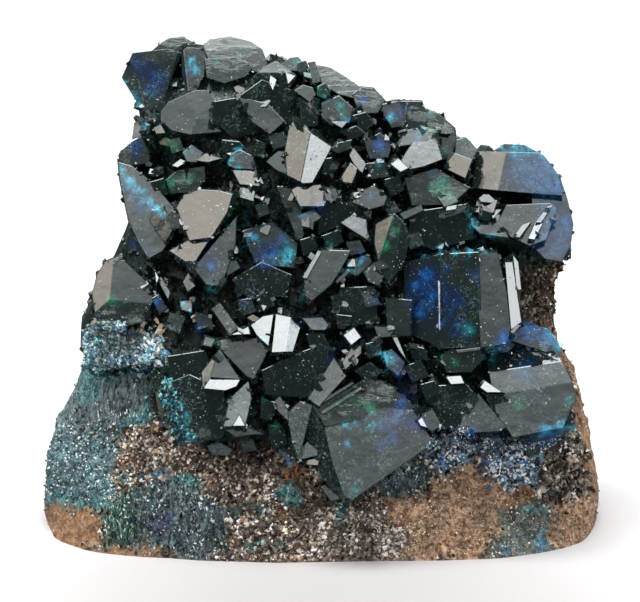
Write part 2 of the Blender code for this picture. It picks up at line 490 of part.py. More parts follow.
def separate_skins(shape):
    """The groups of faces that hang together along edges."""
    skins, seen = [], set()
    for first in shape.faces:
        if first in seen:
            continue
        skin, waiting = [], [first]
        seen.add(first)
        while waiting:
            face = waiting.pop()
            skin.append(face)
            for edge in face.edges:
                for other in edge.link_faces:
                    if other not in seen:
                        seen.add(other)
                        waiting.append(other)
        skins.append(skin)
    return skins


def keep_largest_skin(shape):
    """Drop specks cut loose, and close the hollows sealed inside."""
    skins = separate_skins(shape)
    largest = max(skins, key=len)
    rest = [face for skin in skins if skin is not largest for face in skin]
    bmesh.ops.delete(shape, geom=rest, context="FACES")


def rock_top(across):
    """Height of the rock's top at a place across it."""
    for (x0, z0), (x1, z1) in zip(ROCK_TOP, ROCK_TOP[1:]):
        if across <= x1:
            share = max(0.0, (across - x0) / (x1 - x0))
            return z0 + (z1 - z0) * share
    return ROCK_TOP[-1][1]


def rock_shape(swell, foot):
    """The rock as a stack of rounded slices with broken faces, swollen by a distance."""
    shape = bmesh.new()
    rings = []
    for share, left, right, front, back in ROCK_SLICES:
        ring = []
        for step in range(SLICE_POINTS):
            turn = 2 * math.pi * step / SLICE_POINTS
            cosine, sine = math.cos(turn), math.sin(turn)
            across = math.copysign(abs(cosine) ** (2 / ROCK_CORNERS), cosine)
            deep = math.copysign(abs(sine) ** (2 / ROCK_CORNERS), sine)
            x = (left + right) / 2 + across * (right - left) / 2
            y = (front + back) / 2 + deep * (back - front) / 2
            z = share * (rock_top(x) - TOP_FALL * (y - front))
            ring.append(shape.verts.new(Vector((x, y, z)) * MM + FACE_FOOT))
        rings.append(ring)
    for lower, upper in zip(rings, rings[1:]):
        for step in range(SLICE_POINTS):
            after = (step + 1) % SLICE_POINTS
            shape.faces.new((lower[step], lower[after], upper[after], upper[step]))
    shape.faces.new(reversed(rings[0]))
    shape.faces.new(rings[-1])
    bmesh.ops.triangulate(shape, faces=shape.faces)
    shape.normal_update()
    for vert in shape.verts:
        place = (vert.co - FACE_FOOT) / GRAIN_SIZE + LUMP_START
        lump, crumb = noise.noise(place), noise.noise(place * 3)
        vert.co += vert.normal * ((lump + crumb / 2) * GRAIN_HEIGHT + swell)
    for point, normal in BREAKS:
        normal = Vector(normal).normalized()
        cut_away(shape, Vector(point) * MM + FACE_FOOT + normal * swell, normal)
    cut_away(shape, Vector((0, 0, foot)), Vector((0, 0, -1)))
    bmesh.ops.remove_doubles(shape, verts=shape.verts, dist=0.05 * MM)
    keep_largest_skin(shape)
    bmesh.ops.recalc_face_normals(shape, faces=shape.faces)
    return shape


def crust_region():
    """A block over the part of the face that the crystals grow on, wider at its root."""
    shape = bmesh.new()
    outline = [sheet_point(text) for text in CRUST_OUTLINE.split()]
    lid = shape.faces.new([shape.verts.new(FACE_AXES @ Vector((*spot, CRUST_FRONT))) for spot in outline])
    wall = bmesh.ops.extrude_face_region(shape, geom=[lid])
    moved = [item for item in wall["geom"] if isinstance(item, bmesh.types.BMVert)]
    bmesh.ops.translate(shape, verts=moved, vec=along_face(0, 0, CRUST_BACK - CRUST_FRONT))
    bmesh.ops.recalc_face_normals(shape, faces=shape.faces)
    return shape


def put(shape, name, collection):
    """Make an object of a shape, in the object's own axes."""
    mesh = bpy.data.meshes.new(name)
    shape.to_mesh(mesh)
    shape.free()
    made = bpy.data.objects.new(name, mesh)
    collection.objects.link(made)
    return made


def boolean(target, name, operation, operand):
    step = target.modifiers.new(name, "BOOLEAN")
    step.operation = operation
    step.solver = "EXACT"
    if isinstance(operand, bpy.types.Collection):
        step.operand_type = "COLLECTION"
        step.collection = operand
    else:
        step.object = operand


def settle(target):
    """Apply the modifiers, join specks and fill the closed hollows left between crystals."""
    graph = bpy.context.evaluated_depsgraph_get()
    mesh = bpy.data.meshes.new_from_object(target.evaluated_get(graph))
    shape = bmesh.new()
    shape.from_mesh(mesh)
    bmesh.ops.remove_doubles(shape, verts=shape.verts, dist=SPECK)
    keep_largest_skin(shape)
    shape.to_mesh(mesh)
    shape.free()
    target.modifiers.clear()
    target.data = mesh


def finish(target, material):
    colour, roughness = MATERIALS[material]
    made = bpy.data.materials.new(material)
    made.use_nodes = True
    shader = made.node_tree.nodes["Principled BSDF"]
    shader.inputs["Base Color"].default_value = colour
    shader.inputs["Roughness"].default_value = roughness
    target.data.materials.clear()
    target.data.materials.append(made)


def build():
    for item in list(bpy.data.objects):
        bpy.data.objects.remove(item, do_unlink=True)
    model = bpy.data.collections.new("lazulite")
    cutters = bpy.data.collections.new("cutters")
    crystals = bpy.data.collections.new("crystals")
    for collection in (model, cutters, crystals):
        bpy.context.scene.collection.children.link(collection)

    matrix = put(rock_shape(0, 0), "matrix", model)
    finish(matrix, "brown rock")

    crust = rock_shape(CRUST, -MM)
    small = rim_crystals(crust)
    cluster = put(crust, "lazulite_cluster", model)
    region = put(crust_region(), "crust_region", cutters)
    rock = put(rock_shape(CLEARANCE, -5 * MM), "rock_clearance", cutters)
    for name, crystal in CRYSTALS.items():
        put(face_crystal(crystal), name, crystals)
    for number, shape in enumerate(small):
        put(shape, f"rim_{number:02d}", crystals)
    boolean(cluster, "keep the face", "INTERSECT", region)
    boolean(cluster, "grow the crystals", "UNION", crystals)
    boolean(cluster, "leave the rock", "DIFFERENCE", rock)
    settle(cluster)
    finish(cluster, "dark blue lazulite")

    for helper in list(crystals.objects) + list(cutters.objects):
        bpy.data.objects.remove(helper, do_unlink=True)
    bpy.data.collections.remove(crystals)
    bpy.data.collections.remove(cutters)


build()
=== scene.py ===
# %% [markdown]
# # Lazulite on matrix
# This lesson dresses a mineral specimen: dark blue lazulite crystals on a piece of brown rock.
# The solids come packed as a fixed frame, in metres, with the crystals' face towards -Y.
# Each step makes one thing on the specimen, first its shape and then its finish.

# %% Load the frame
import math
import random
from collections import namedtuple

import bmesh
import bpy
import numpy as np
from mathutils import Matrix, Vector, noise
from mathutils.bvhtree import BVHTree


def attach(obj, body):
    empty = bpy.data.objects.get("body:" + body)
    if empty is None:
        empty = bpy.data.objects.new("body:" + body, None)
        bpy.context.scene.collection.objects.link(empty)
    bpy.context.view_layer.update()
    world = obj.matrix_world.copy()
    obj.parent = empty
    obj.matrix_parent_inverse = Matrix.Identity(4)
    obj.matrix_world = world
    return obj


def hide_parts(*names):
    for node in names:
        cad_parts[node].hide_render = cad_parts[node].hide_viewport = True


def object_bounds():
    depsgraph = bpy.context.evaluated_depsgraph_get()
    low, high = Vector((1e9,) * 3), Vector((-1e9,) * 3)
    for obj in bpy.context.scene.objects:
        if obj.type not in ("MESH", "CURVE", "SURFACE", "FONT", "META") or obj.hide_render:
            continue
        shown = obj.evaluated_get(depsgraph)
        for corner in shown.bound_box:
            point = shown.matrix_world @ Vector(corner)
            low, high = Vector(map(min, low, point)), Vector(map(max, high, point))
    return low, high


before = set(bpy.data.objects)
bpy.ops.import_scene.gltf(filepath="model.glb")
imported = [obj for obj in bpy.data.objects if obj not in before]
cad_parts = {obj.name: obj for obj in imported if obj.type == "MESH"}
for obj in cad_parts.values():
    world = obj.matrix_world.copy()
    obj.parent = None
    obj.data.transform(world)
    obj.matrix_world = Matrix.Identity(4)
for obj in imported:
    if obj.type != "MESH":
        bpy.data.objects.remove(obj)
cad_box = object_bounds()
MM = 0.001
print("solids:", sorted(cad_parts))


# %% [markdown]
# ## The drawing sheet
# The crystals stand on one face of the rock, which leans back 15 degrees. A flat drawing sheet on
# that face is the easiest way to say where things are, so every place below is given on the sheet,
# in steps, with x to the right and y down. Places are written as short texts, such as '120,76',
# and a few helpers turn them into real places and back.

# %% The sheet and the leaning face
FACE_WIDTH = 70.0 * MM
FACE_LEAN = math.radians(15.0)
FACE_FOOT = Vector((-0.137, -19.507, 0.0)) * MM
SHEET_WIDTH = 556.0
STEP = FACE_WIDTH / SHEET_WIDTH
SHEET_MIDDLE, SHEET_FOOT = 322.0, 565.0
DOME_CENTRE, DOME_HALF = (325.0, 320.0), (250.0, 280.0)
DOME_TOP, DOME_DROP = 1.5 * MM, 5.0 * MM
VIEW_DISTANCE = 0.85
VIEW_MIDDLE = (320.0, 301.0)


def numbers(text):
    """The numbers in a text such as '120,76'."""
    return [float(part) for part in text.split(",")]


def along_face(across, up, out):
    sine, cosine = math.sin(FACE_LEAN), math.cos(FACE_LEAN)
    return Vector((across, up * sine - out * cosine, up * cosine + out * sine))


FACE_AXES = Matrix([along_face(1, 0, 0), along_face(0, 1, 0), along_face(0, 0, 1)]).transposed().to_4x4()
FACE_AXES.translation = FACE_FOOT
TO_FACE = FACE_AXES.inverted()
OUT = along_face(0, 0, 1)


def sheet_point(x, y):
    """Turn a place on the sheet into metres across and up the face."""
    return Vector(((x - SHEET_MIDDLE) * STEP, (SHEET_FOOT - y) * STEP))


EYE = FACE_AXES @ Vector((*sheet_point(*VIEW_MIDDLE), VIEW_DISTANCE))


def seen_at(points):
    """Where points of the specimen show on the sheet, for an eye in front of its middle."""
    points = np.asarray(points, float)
    turn, shift = np.array(TO_FACE.to_3x3()), np.array(TO_FACE.translation)
    own = points @ turn.T + shift
    near = VIEW_DISTANCE / (VIEW_DISTANCE - own[:, 2])
    x = VIEW_MIDDLE[0] + (SHEET_MIDDLE + own[:, 0] / STEP - VIEW_MIDDLE[0]) * near
    y = VIEW_MIDDLE[1] + (SHEET_FOOT - own[:, 1] / STEP - VIEW_MIDDLE[1]) * near
    return np.stack([x, y], axis=1)


def off_centre(spot):
    """How far a spot is from the middle of the growth dome, squared: about 1 at the edge."""
    across = (spot.x / STEP + SHEET_MIDDLE - DOME_CENTRE[0]) / DOME_HALF[0]
    up = (SHEET_FOOT - spot.y / STEP - DOME_CENTRE[1]) / DOME_HALF[1]
    return across * across + up * up


def dome_height(spot):
    """Height of the growth dome above the plane of the face."""
    return DOME_TOP - DOME_DROP * off_centre(spot) ** 2


print(f"one step of the sheet is {STEP / MM:.3f} mm")


# %% [markdown]
# ## The crystals
# Lazulite grows as blocky crystals with flat, glassy faces, packed so close that each shows little
# more than its top. Each is drawn as the outline of that top, the way it faces, how far it stands
# above the dome in millimetres, and creases where the top turns down to a neighbouring face. The
# way is a clock angle, in degrees from the right and up, and a tilt away from the whole face's own
# direction. A crease is two places and how many degrees the top turns down beyond them. A row of
# the drawing holds all this for one crystal. Drawing beats scattering here, because the specimen's
# character lies in which face catches the light.

# %% The crystals' drawing
Crystal = namedtuple("Crystal", "facing lift outline creases")
FACINGS = {"skyward": "88,32", "upper_left": "137,22"}
DRAWING = [
    "upper_left_blue 150,7 0.5: 120,76 131,51 144,53 166,47 181,51 172,74 160,104 142,112"
        " | 158,106 176,54 22 | 122,78 142,108 42",
    "top_knob 95,6 -1.0: 150,48 161,39 168,35 182,34 191,39 197,46 184,51 166,50 | 196,45 163,43 5",
    "ice_window 60,10 1.5: 181,50 187,46 199,47 206,56 204,74 196,90 186,91 181,72 | 184,56 188,90 38",
    "top_weathered 85,20 0.3: 202,44 209,38 230,35 250,40 262,48 268,63 258,72 236,60 208,60"
        " | 206,50 256,47 8",
    "striated_under 85,9 0.6: 204,58 236,56 253,66 246,76 224,83 206,77",
    "grey_trio 60,15 2.5: 160,112 168,102 195,90 206,90 216,101 213,118 222,132 190,135 172,131 160,121"
        " | 191,90 196,118 8 | 160,120 213,118 4",
    "black_flank 330,24 1.8: 214,102 236,98 263,132 234,139 212,119",
    "blade_grey 112,11 2.6: 238,97 268,104 285,122 270,135 252,122",
    "blade_shadow 330,20 1.2: 240,96 262,80 298,92 302,116 285,123 262,108",
    "crown_peak 265,14 1.6: 252,78 263,67 276,60 287,70 297,76 289,90 273,94 260,88 | 288,73 262,73 34",
    "peak_window_left skyward 2.6: 270,75 277,80 273,92 269,83",
    "peak_window_right skyward 2.3: 285,72 296,76 288,85",
    "grey_wedge 60,15 2.4: 294,91 303,85 313,88 316,95 310,103",
    "pale_chip_top 120,28 2.0: 303,72 311,73 312,79 304,77",
    "wedge_under 0,20 1.2: 298,98 310,103 320,98 318,126 303,128",
    "top_grey_roof 110,14 0.2: 280,64 290,57 298,56 303,62 299,71 288,70",
    "green_nub_top 60,6 1.0: 297,62 306,60 309,68 303,74 297,71",
    "blue_prism 100,10 1.8: 308,62 315,61 321,82 312,84",
    "ridge_weathered 80,16 0.3: 315,64 330,67 345,76 362,88 356,99 338,94 322,84",
    "green_nub 60,5 2.2: 317,87 325,83 331,91 325,99 317,96",
    "far_ridge 50,14 0.3: 352,94 362,87 373,88 385,101 378,113 360,114",
    "teal_dark 95,8 1.6: 321,103 339,96 353,108 350,122 330,124 322,118",
    "small_white_chip 90,22 2.4: 330,122 348,122 342,129",
    "blue_top 80,8 0.5: 382,104 398,101 408,104 406,126 392,128 384,116",
    "olive_top 20,14 0.4: 400,101 422,101 428,118 424,131 406,128",
    "green_flank 60,10 -0.5: 425,108 440,114 455,127 457,142 450,160 436,150 427,128",
    "flank_chip upper_left 0.8: 444,122 451,134 440,134",
    "lavender_upper 90,17 2.2: 398,147 404,131 420,128 437,130 435,142 416,143",
    "lavender_lower 100,22 3.0: 401,160 412,143 436,140 442,160 424,167 405,171",
    "white_spot skyward 4.6: 390,165 398,159 408,169 400,173",
    "blue_gem 80,6 1.6: 364,141 380,133 391,145 388,158 370,159",
    "twin_grey 115,22 2.6: 353,148 366,165 362,174 354,166 349,156",
    "twin_pale 140,27 3.2: 341,178 350,163 357,170 352,184 343,183",
    "split_face 145,20 4.0: 285,150 289,129 294,120 310,137 329,148 312,182 303,184 287,176"
        " | 301,181 310,136 45",
    "split_neighbour 100,13 1.8: 266,162 278,151 289,152 290,176 277,171",
    "slab 118,20 3.4: 291,190 297,187 320,185 328,198 324,207 300,207",
    "slab_side 95,6 2.0: 276,186 291,189 301,208 304,236 298,241 289,214",
    "slab_crumb 120,14 2.3: 324,187 336,189 340,200 330,203",
    "steel 72,14 3.2: 352,203 361,191 374,186 387,197 384,206 370,210",
    "rose 98,20 3.2: 340,223 352,215 366,220 368,241 346,227",
    "lantern 350,6 3.4: 376,225 394,214 403,222 409,238 403,264 388,283 378,262 374,242"
        " | 390,282 401,220 28 | 394,214 378,262 26",
    "beige_square upper_left 2.6: 443,168 454,153 472,160 465,179",
    "blue_nub 70,14 1.4: 456,140 466,137 478,150 472,161 455,153",
    "shoulder_upper 128,18 2.0: 472,188 477,151 507,152 540,152 561,176 566,197 522,189"
        " | 499,188 507,151 12",
    "teal_crest 80,9 0.8: 494,150 505,143 525,144 545,155 562,178 548,172 515,157",
    "shoulder_lower 85,14 2.4: 497,222 506,205 551,203 557,209 546,240 529,246 510,237",
    "shoulder_slate 84,12 1.9: 533,187 561,177 568,198 574,224 571,246 562,262 545,259 529,243",
    "strip_a 20,27 3.7: 553,205 548,206 535,223 541,223",
    "strip_b 75,31 3.6: 543,223 535,222 527,239 534,240",
    "strip_c 20,27 3.8: 531,222 522,225 513,237 519,238",
    "pale_pair_left 125,27 3.2: 474,212 485,199 497,201 493,213 484,215",
    "pale_pair_right 105,26 3.4: 489,209 501,210 492,220",
    "ice_crumb 90,15 1.8: 474,216 490,214 502,226 508,238 480,234 472,226",
    "hollow_a 90,6 1.0: 404,178 436,168 470,188 452,204 412,206",
    "hollow_b 300,12 1.0: 412,212 466,204 474,238 432,250 408,236",
    "stick_a 110,12 2.4: 399,214 420,205 423,211 404,220",
    "stick_b 110,9 2.2: 434,216 464,204 467,211 442,219",
    "tall_blue 270,3 2.4: 405,264 440,254 478,252 482,347 440,348 405,330 | 440,254 440,348 20",
    "tall_grey 80,9 2.9: 474,254 497,252 506,290 510,328 506,344 480,347 478,300",
    "tall_strip 12,27 3.4: 504,262 512,262 521,322 510,330",
    "tall_strip_small 12,27 2.9: 512,254 518,262 521,290 516,290",
    "tall_foot upper_left 3.8: 508,326 520,325 511,336",
    "banded 84,16 3.4: 487,362 497,347 520,336 545,338 560,358 571,380 576,398 567,413 562,427 512,437 "
        "495,412 506,394 490,373"
        " | 562,361 489,372 30 | 505,393 571,382 6 | 508,417 570,412 9",
    "blue_saddle 80,9 0.9: 508,340 514,329 532,324 548,329 559,344 563,357 545,352 524,345",
    "banded_blue_foot 85,5 -0.5: 519,436 556,429 578,424 562,440 541,453 529,459",
    "dark_triangle 100,10 3.0: 478,393 506,426 500,431 456,433 463,414",
    "triangle_tip skyward 4.0: 484,380 502,392 486,392 479,387",
    "triangle_lines 300,18 3.2: 484,393 502,394 513,404 493,413",
    "little_white skyward 3.6: 445,376 460,375 464,383 450,384",
    "under_white 250,8 2.2: 438,385 466,384 478,398 460,430 440,424 430,400",
    "banded_left_a 90,3 1.8: 440,356 450,349 478,346 484,358 470,372 446,372",
    "big_plate 90,10 3.8: 324,427 345,417 385,407 417,410 432,443 402,461 370,474 352,499 344,495 332,462",
    "plate_roof 60,8 2.6: 312,406 366,378 382,380 404,396 417,409 385,407 345,417 325,426",
    "plate_flank 205,26 2.4: 312,406 324,427 334,456 345,497 322,478 303,430",
    "violet_chip 80,11 4.2: 421,414 432,409 441,425 431,431 422,424",
    "white_crumb skyward 4.6: 417,420 421,416 427,427 420,425",
    "olive_plate 82,10 4.2: 304,279 321,250 351,251 340,271 331,285 312,301 305,296",
    "olive_strip_left 115,26 4.4: 318,250 322,252 307,279 302,278",
    "olive_strip_right 80,10 3.8: 348,269 350,272 337,284 335,281",
    "olive_neighbour 110,9 2.6: 363,272 374,262 384,276 379,286 368,282",
    "cyan_ledge 60,8 2.2: 345,262 368,254 372,262 358,276 344,272",
    "pair_left 90,30 3.6: 251,325 263,316 274,314 269,346 257,335",
    "pair_right 86,31 4.0: 276,314 291,317 300,328 293,351 272,352 | 285,354 291,314 14",
    "pale_wedge skyward 4.4: 230,335 249,326 251,334",
    "plate_mid 102,11 2.8: 215,343 231,336 258,338 269,350 260,366 254,379 247,376 236,360",
    "pyramid_front 75,15 3.6: 220,348 241,379 211,377",
    "pyramid_left 120,16 3.0: 219,350 211,377 203,388 202,372",
    "pyramid_white skyward 4.2: 211,377 241,379 237,386 226,390 204,388",
    "lavender_tall 98,18 4.0: 249,380 252,398 244,409 246,425 224,426 230,398",
    "tall_white_tip skyward 5.4: 240,413 246,425 233,425",
    "tall_base 90,9 3.6: 222,427 248,426 263,433 236,436",
    "lower_left_black 250,12 1.8: 168,356 206,350 214,376 200,390 172,386",
    "lower_left_block 235,14 2.2: 165,384 190,374 224,390 230,424 222,437 192,444 179,424",
    "foot_pebble 90,8 -0.5: 207,445 218,441 233,449 228,456 212,455",
    "white_square 92,30 4.4: 343,335 354,327 361,337 351,345",
    "beam_upper 118,17 3.8: 342,362 352,346 362,341 361,353 345,370",
    "beam_lower 110,16 3.6: 308,398 331,371 334,357 346,376 319,406",
    "column_left 110,14 2.4: 271,404 280,395 288,408 289,421",
    "column 110,10 3.0: 287,413 300,401 313,404 305,424 300,441 299,459 292,441",
    "toe_small 100,14 2.0: 299,450 308,440 318,447 318,455 300,459",
    "toe_pale 130,20 2.2: 302,460 320,457 318,465 305,464",
    "black_plate 300,12 2.4: 262,370 300,352 328,342 336,360 331,372 308,397 288,396 266,394",
    "toe_dark 90,10 0.6: 320,486 335,480 346,497 331,501",
    "toe_teal 100,14 0.6: 347,490 360,482 368,489 353,501",
    "left_beam 112,13 1.6: 118,162 132,166 150,180 172,205 182,220 172,238 163,251 149,259 140,245 129,222 "
        "120,182",
    "beam_facet 150,14 2.8: 150,221 153,211 163,206 173,231 165,243",
    "beam_disc 110,8 2.7: 166,216 172,210 182,216 181,229 171,229",
    "beige_head upper_left 4.0: 177,208 184,196 201,190 219,191 233,195 228,213 212,238 190,241 186,228",
    "beige_foot upper_left 3.85: 190,240 212,237 193,267 170,251",
    "violet_flank 70,11 3.0: 194,268 230,231 237,216 236,245 222,286 207,285",
    "left_mid 150,12 0.8: 118,153 130,142 141,135 149,151 150,163 130,166 118,166 | 130,166 132,139 15",
    "left_rim 150,16 -0.6: 133,122 138,119 146,124 141,135 131,139",
    "slate_small 80,14 2.8: 183,153 192,145 204,153 197,163 187,162",
    "slate_pale 130,27 3.1: 196,161 205,154 223,159 208,163",
    "slate_white 95,30 3.0: 172,166 181,159 188,162 178,168",
    "green_block 90,5 1.4: 166,180 178,170 205,166 206,180 196,192 172,194",
    "ice_head 100,10 2.8: 228,166 232,154 240,150 252,156 257,170 236,169",
    "ice_pale 130,27 3.3: 232,170 256,172 260,187 240,185",
    "ice_tail 90,21 2.4: 236,185 250,187 263,200 248,197",
    "left_big 95,11 1.8: 92,294 97,274 105,262 120,256 146,281 154,300 145,321 125,318 104,333 96,318"
        " | 114,258 107,330 11 | 98,298 152,304 10",
    "left_low 120,17 -0.6: 86,330 92,318 100,318 104,334 90,342",
    "left_crumble 110,10 0.0: 89,345 104,334 140,330 160,346 150,362 106,365 90,360",
    "sliver_white skyward 3.6: 155,269 160,278 157,285",
    "sliver_grey 120,16 3.0: 158,280 162,277 171,292 169,300",
    "bar 120,13 2.8: 212,309 220,302 239,328 230,335",
    "bar_end 100,17 3.2: 206,336 216,339 212,347 203,345",
    "steel_flat 70,16 3.4: 302,318 322,317 329,325 325,330 312,330",
    "olive_low 100,10 2.6: 374,326 392,327 395,336 378,338",
    "cyan_sliver 60,26 3.6: 392,338 397,337 407,361 399,351",
    "cyan_gem 80,8 3.0: 383,352 392,349 405,362 398,376 386,366",
    "centre_dark_a 300,10 2.0: 232,280 262,262 292,275 286,296 250,300",
    "centre_dark_b 60,6 1.8: 243,232 272,222 298,244 294,268 256,264",
    "centre_dark_c 280,14 1.6: 318,205 346,203 372,214 345,222 318,235",
    "centre_dark_d 300,10 2.0: 340,288 374,286 378,322 352,326 334,308",
    "right_dark_a 60,4 2.2: 385,298 412,300 410,336 388,336",
    "chip_1 115,18 2.0: 153,128 161,124 166,133 156,134",
    "chip_2 60,5 0.8: 141,121 150,124 148,134 139,131",
    "chip_3 skyward 1.6: 150,168 158,170 158,175 148,174",
    "chip_4 100,6 1.4: 146,160 153,163 151,167 145,166",
    "chip_5 95,4 2.2: 255,205 266,202 270,214 259,218",
    "chip_6 90,22 3.2: 243,186 256,190 254,202 240,198",
    "chip_7 100,18 1.8: 263,222 272,226 268,236 259,232",
    "chip_8 95,9 2.4: 221,262 235,258 241,268 228,276",
    "chip_9 280,9 2.0: 240,278 256,284 250,296 236,292",
    "chip_10 95,19 1.8: 180,301 193,300 192,312 182,310",
    "chip_11 110,17 2.0: 183,282 189,272 196,286 188,292",
    "chip_12 60,6 1.8: 196,312 212,316 214,330 198,328",
    "chip_13 40,9 1.6: 152,298 160,294 168,308 160,314",
    "chip_14 80,6 1.4: 170,312 186,316 180,334 166,328",
    "chip_15 90,3 2.2: 238,300 252,298 256,312 242,316",
    "chip_16 270,14 2.2: 256,296 268,292 274,306 262,312",
    "chip_17 90,4 2.2: 330,150 339,143 352,140 349,150 338,154",
    "chip_18 300,16 2.4: 320,160 332,158 336,172 324,176",
    "chip_19 20,10 2.4: 366,164 384,162 390,176 372,180",
    "chip_20 280,12 1.8: 340,132 356,126 366,134 352,140",
    "chip_21 280,8 1.4: 352,116 366,112 374,124 362,132",
    "chip_22 80,5 2.0: 268,136 284,132 288,146 274,150",
    "chip_23 280,8 1.8: 222,140 240,142 250,154 236,158 224,152",
    "chip_24 300,12 1.8: 256,140 266,144 264,158 254,156",
    "chip_25 80,5 1.6: 168,140 180,137 184,150 172,154",
    "chip_26 290,10 1.2: 150,182 164,178 168,194 158,200",
    "chip_27 75,12 2.2: 300,215 314,209 322,218 308,226",
    "chip_28 290,14 2.4: 322,236 338,230 344,242 330,250",
    "chip_29 290,10 2.2: 300,240 314,236 318,250 304,256",
    "chip_30 60,7 2.2: 346,242 360,240 366,252 350,256",
    "chip_31 30,9 1.8: 404,236 418,232 424,244 410,250",
    "chip_32 110,16 1.8: 436,196 450,192 458,202 444,208",
    "chip_33 280,12 2.2: 384,180 398,176 404,190 390,196",
    "chip_34 100,5 2.4: 384,206 394,202 400,212 388,216",
    "chip_35 280,12 2.6: 330,296 342,292 348,306 334,312",
    "chip_36 280,12 2.4: 336,314 352,316 350,326 338,328",
    "chip_37 280,10 3.0: 306,334 322,332 328,344 310,348",
    "chip_38 60,8 2.4: 360,292 374,290 380,304 366,308",
    "chip_39 290,12 2.8: 364,344 378,340 382,354 368,358",
    "chip_40 280,10 2.6: 404,366 420,360 428,376 412,382",
    "chip_41 280,10 2.4: 408,344 424,348 428,360 412,358",
    "chip_42 280,10 2.8: 420,384 434,380 440,392 426,400",
    "chip_43 300,12 3.0: 354,370 370,362 382,372 366,380",
    "chip_44 90,6 0.8: 238,434 252,437 258,450 244,452",
    "chip_45 280,10 2.2: 262,398 276,402 272,420 260,418",
    "chip_46 280,10 1.4: 268,424 284,426 288,444 272,446",
    "chip_47 200,12 1.8: 310,434 320,442 326,460 314,456",
    "chip_48 240,14 1.2: 318,462 328,466 332,480 322,482",
    "chip_49 85,15 0.6: 436,436 450,432 462,440 448,448",
    "chip_50 95,8 0.6: 480,434 496,432 504,442 486,446",
    "line_1 100,12 3.4: 320,411 366,382 368,385 323,414",
    "line_2 110,12 3.9: 316,403 352,381 353,384 318,406",
    "line_3 20,24 2.9: 437,281 440,280 440,330 438,330",
    "line_6 90,11 2.6: 455,350 480,347 480,350 457,353",
]


def read_crystal(row):
    """Read a row of the drawing: name, facing, lift, outline, and creases after bars."""
    label, shape = row.split(":")
    name, facing, lift = label.split()
    outline, *creases = shape.split("|")
    return name, Crystal(numbers(FACINGS.get(facing, facing)), float(lift), outline, creases)


CRYSTALS = dict(read_crystal(row) for row in DRAWING)
print(len(CRYSTALS), "crystals drawn")

# %% [markdown]
# Each crystal is a convex block: the hull of its tilted top and an outline at its root, wider in
# the middle of the face and narrower at its edge. A plane through each crease then takes off what
# turns down, so the faces stay flat however many creases meet.

# %% Make the crystals
ROOT = 6.0 * MM
FLARE, RIM_FLARE = 0.14, -0.12
EDGE_STARTS, EDGE_ENDS = 0.55, 0.90
LEAST_ROOT = 0.3
DOUBLED = 0.02 * MM


def face_direction(clock, tilt):
    clock, tilt = math.radians(clock), math.radians(tilt)
    return Vector((math.sin(tilt) * math.cos(clock), math.sin(tilt) * math.sin(clock), math.cos(tilt)))


def on_top(spot, centre, normal, height):
    """Lift a spot on to the plane through the centre at this height, square to the normal."""
    offset = spot - centre
    return Vector((spot.x, spot.y, height - (offset.x * normal.x + offset.y * normal.y) / normal.z))


def middle_of(spots):
    return sum(spots, Vector((0, 0))) / len(spots)


def hull(shape):
    """Wrap a shape's corners in their convex hull, and drop those that end up inside it."""
    bmesh.ops.convex_hull(shape, input=shape.verts)
    loose = [vert for vert in shape.verts if not vert.link_faces]
    bmesh.ops.delete(shape, geom=loose, context="VERTS")


def block(outline, normal, height, depth, flare):
    """A convex block: a tilted top over an outline, with walls that spread or draw in below it."""
    centre = middle_of(outline)
    radius = sum((spot - centre).length for spot in outline) / len(outline)
    spread = max(LEAST_ROOT, 1 + flare * depth / radius)
    shape = bmesh.new()
    for spot in outline:
        shape.verts.new(on_top(spot, centre, normal, height))
        root = on_top(centre + (spot - centre) * spread, centre, normal, height)
        shape.verts.new(root - Vector((0, 0, depth)))
    hull(shape)
    return shape


def cut_away(shape, point, normal):
    """Slice a closed shape with a plane, drop what is in front of it and close the cut."""
    everything = shape.verts[:] + shape.edges[:] + shape.faces[:]
    cut = bmesh.ops.bisect_plane(shape, geom=everything, plane_co=point, plane_no=normal, clear_outer=True)
    rim = [item for item in cut["geom_cut"] if isinstance(item, bmesh.types.BMEdge)]
    if rim:
        bmesh.ops.contextual_create(shape, geom=rim)


def flatten(shape, angle):
    """Make each facet that is flat within an angle, in degrees, one face."""
    bmesh.ops.dissolve_limit(shape, angle_limit=math.radians(angle), verts=shape.verts, edges=shape.edges)


def tidy_up(shape, doubled, angle):
    """Join corners that are as good as one, flatten the facets and turn the faces outwards."""
    bmesh.ops.remove_doubles(shape, verts=shape.verts, dist=doubled)
    flatten(shape, angle)
    bmesh.ops.recalc_face_normals(shape, faces=shape.faces)


def face_crystal(crystal):
    """A crystal of the face, with its creases cut, in the face's own axes."""
    outline = [sheet_point(*numbers(spot)) for spot in crystal.outline.split()]
    centre = middle_of(outline)
    normal = face_direction(*crystal.facing)
    height = dome_height(centre) + crystal.lift * MM
    edge_share = min(1.0, max(0.0, (off_centre(centre) - EDGE_STARTS) / (EDGE_ENDS - EDGE_STARTS)))
    flare = FLARE + (RIM_FLARE - FLARE) * edge_share
    shape = block(outline, normal, height, crystal.lift * MM + ROOT, flare)
    for crease in crystal.creases:
        start, end, angle = crease.split()
        start, end = (on_top(sheet_point(*numbers(spot)), centre, normal, height) for spot in (start, end))
        along = (end - start).normalized()
        cut_away(shape, start, Matrix.Rotation(math.radians(float(angle)), 3, along) @ normal)
    tidy_up(shape, DOUBLED, 0.5)
    return shape


example = face_crystal(CRYSTALS["slab"])
print("the slab has", len(example.faces), "faces")
example.free()


# %% [markdown]
# ## Where the colour shows
# The crystals look almost black. Blue, cyan, teal or green shows only where light gets through a
# thin or cracked part, in soft patches that run across several crystals. So the colour belongs to
# places on the sheet, not to crystals. Each patch is a centre and a radius. The worn, dusty tops
# are marked in the same way.

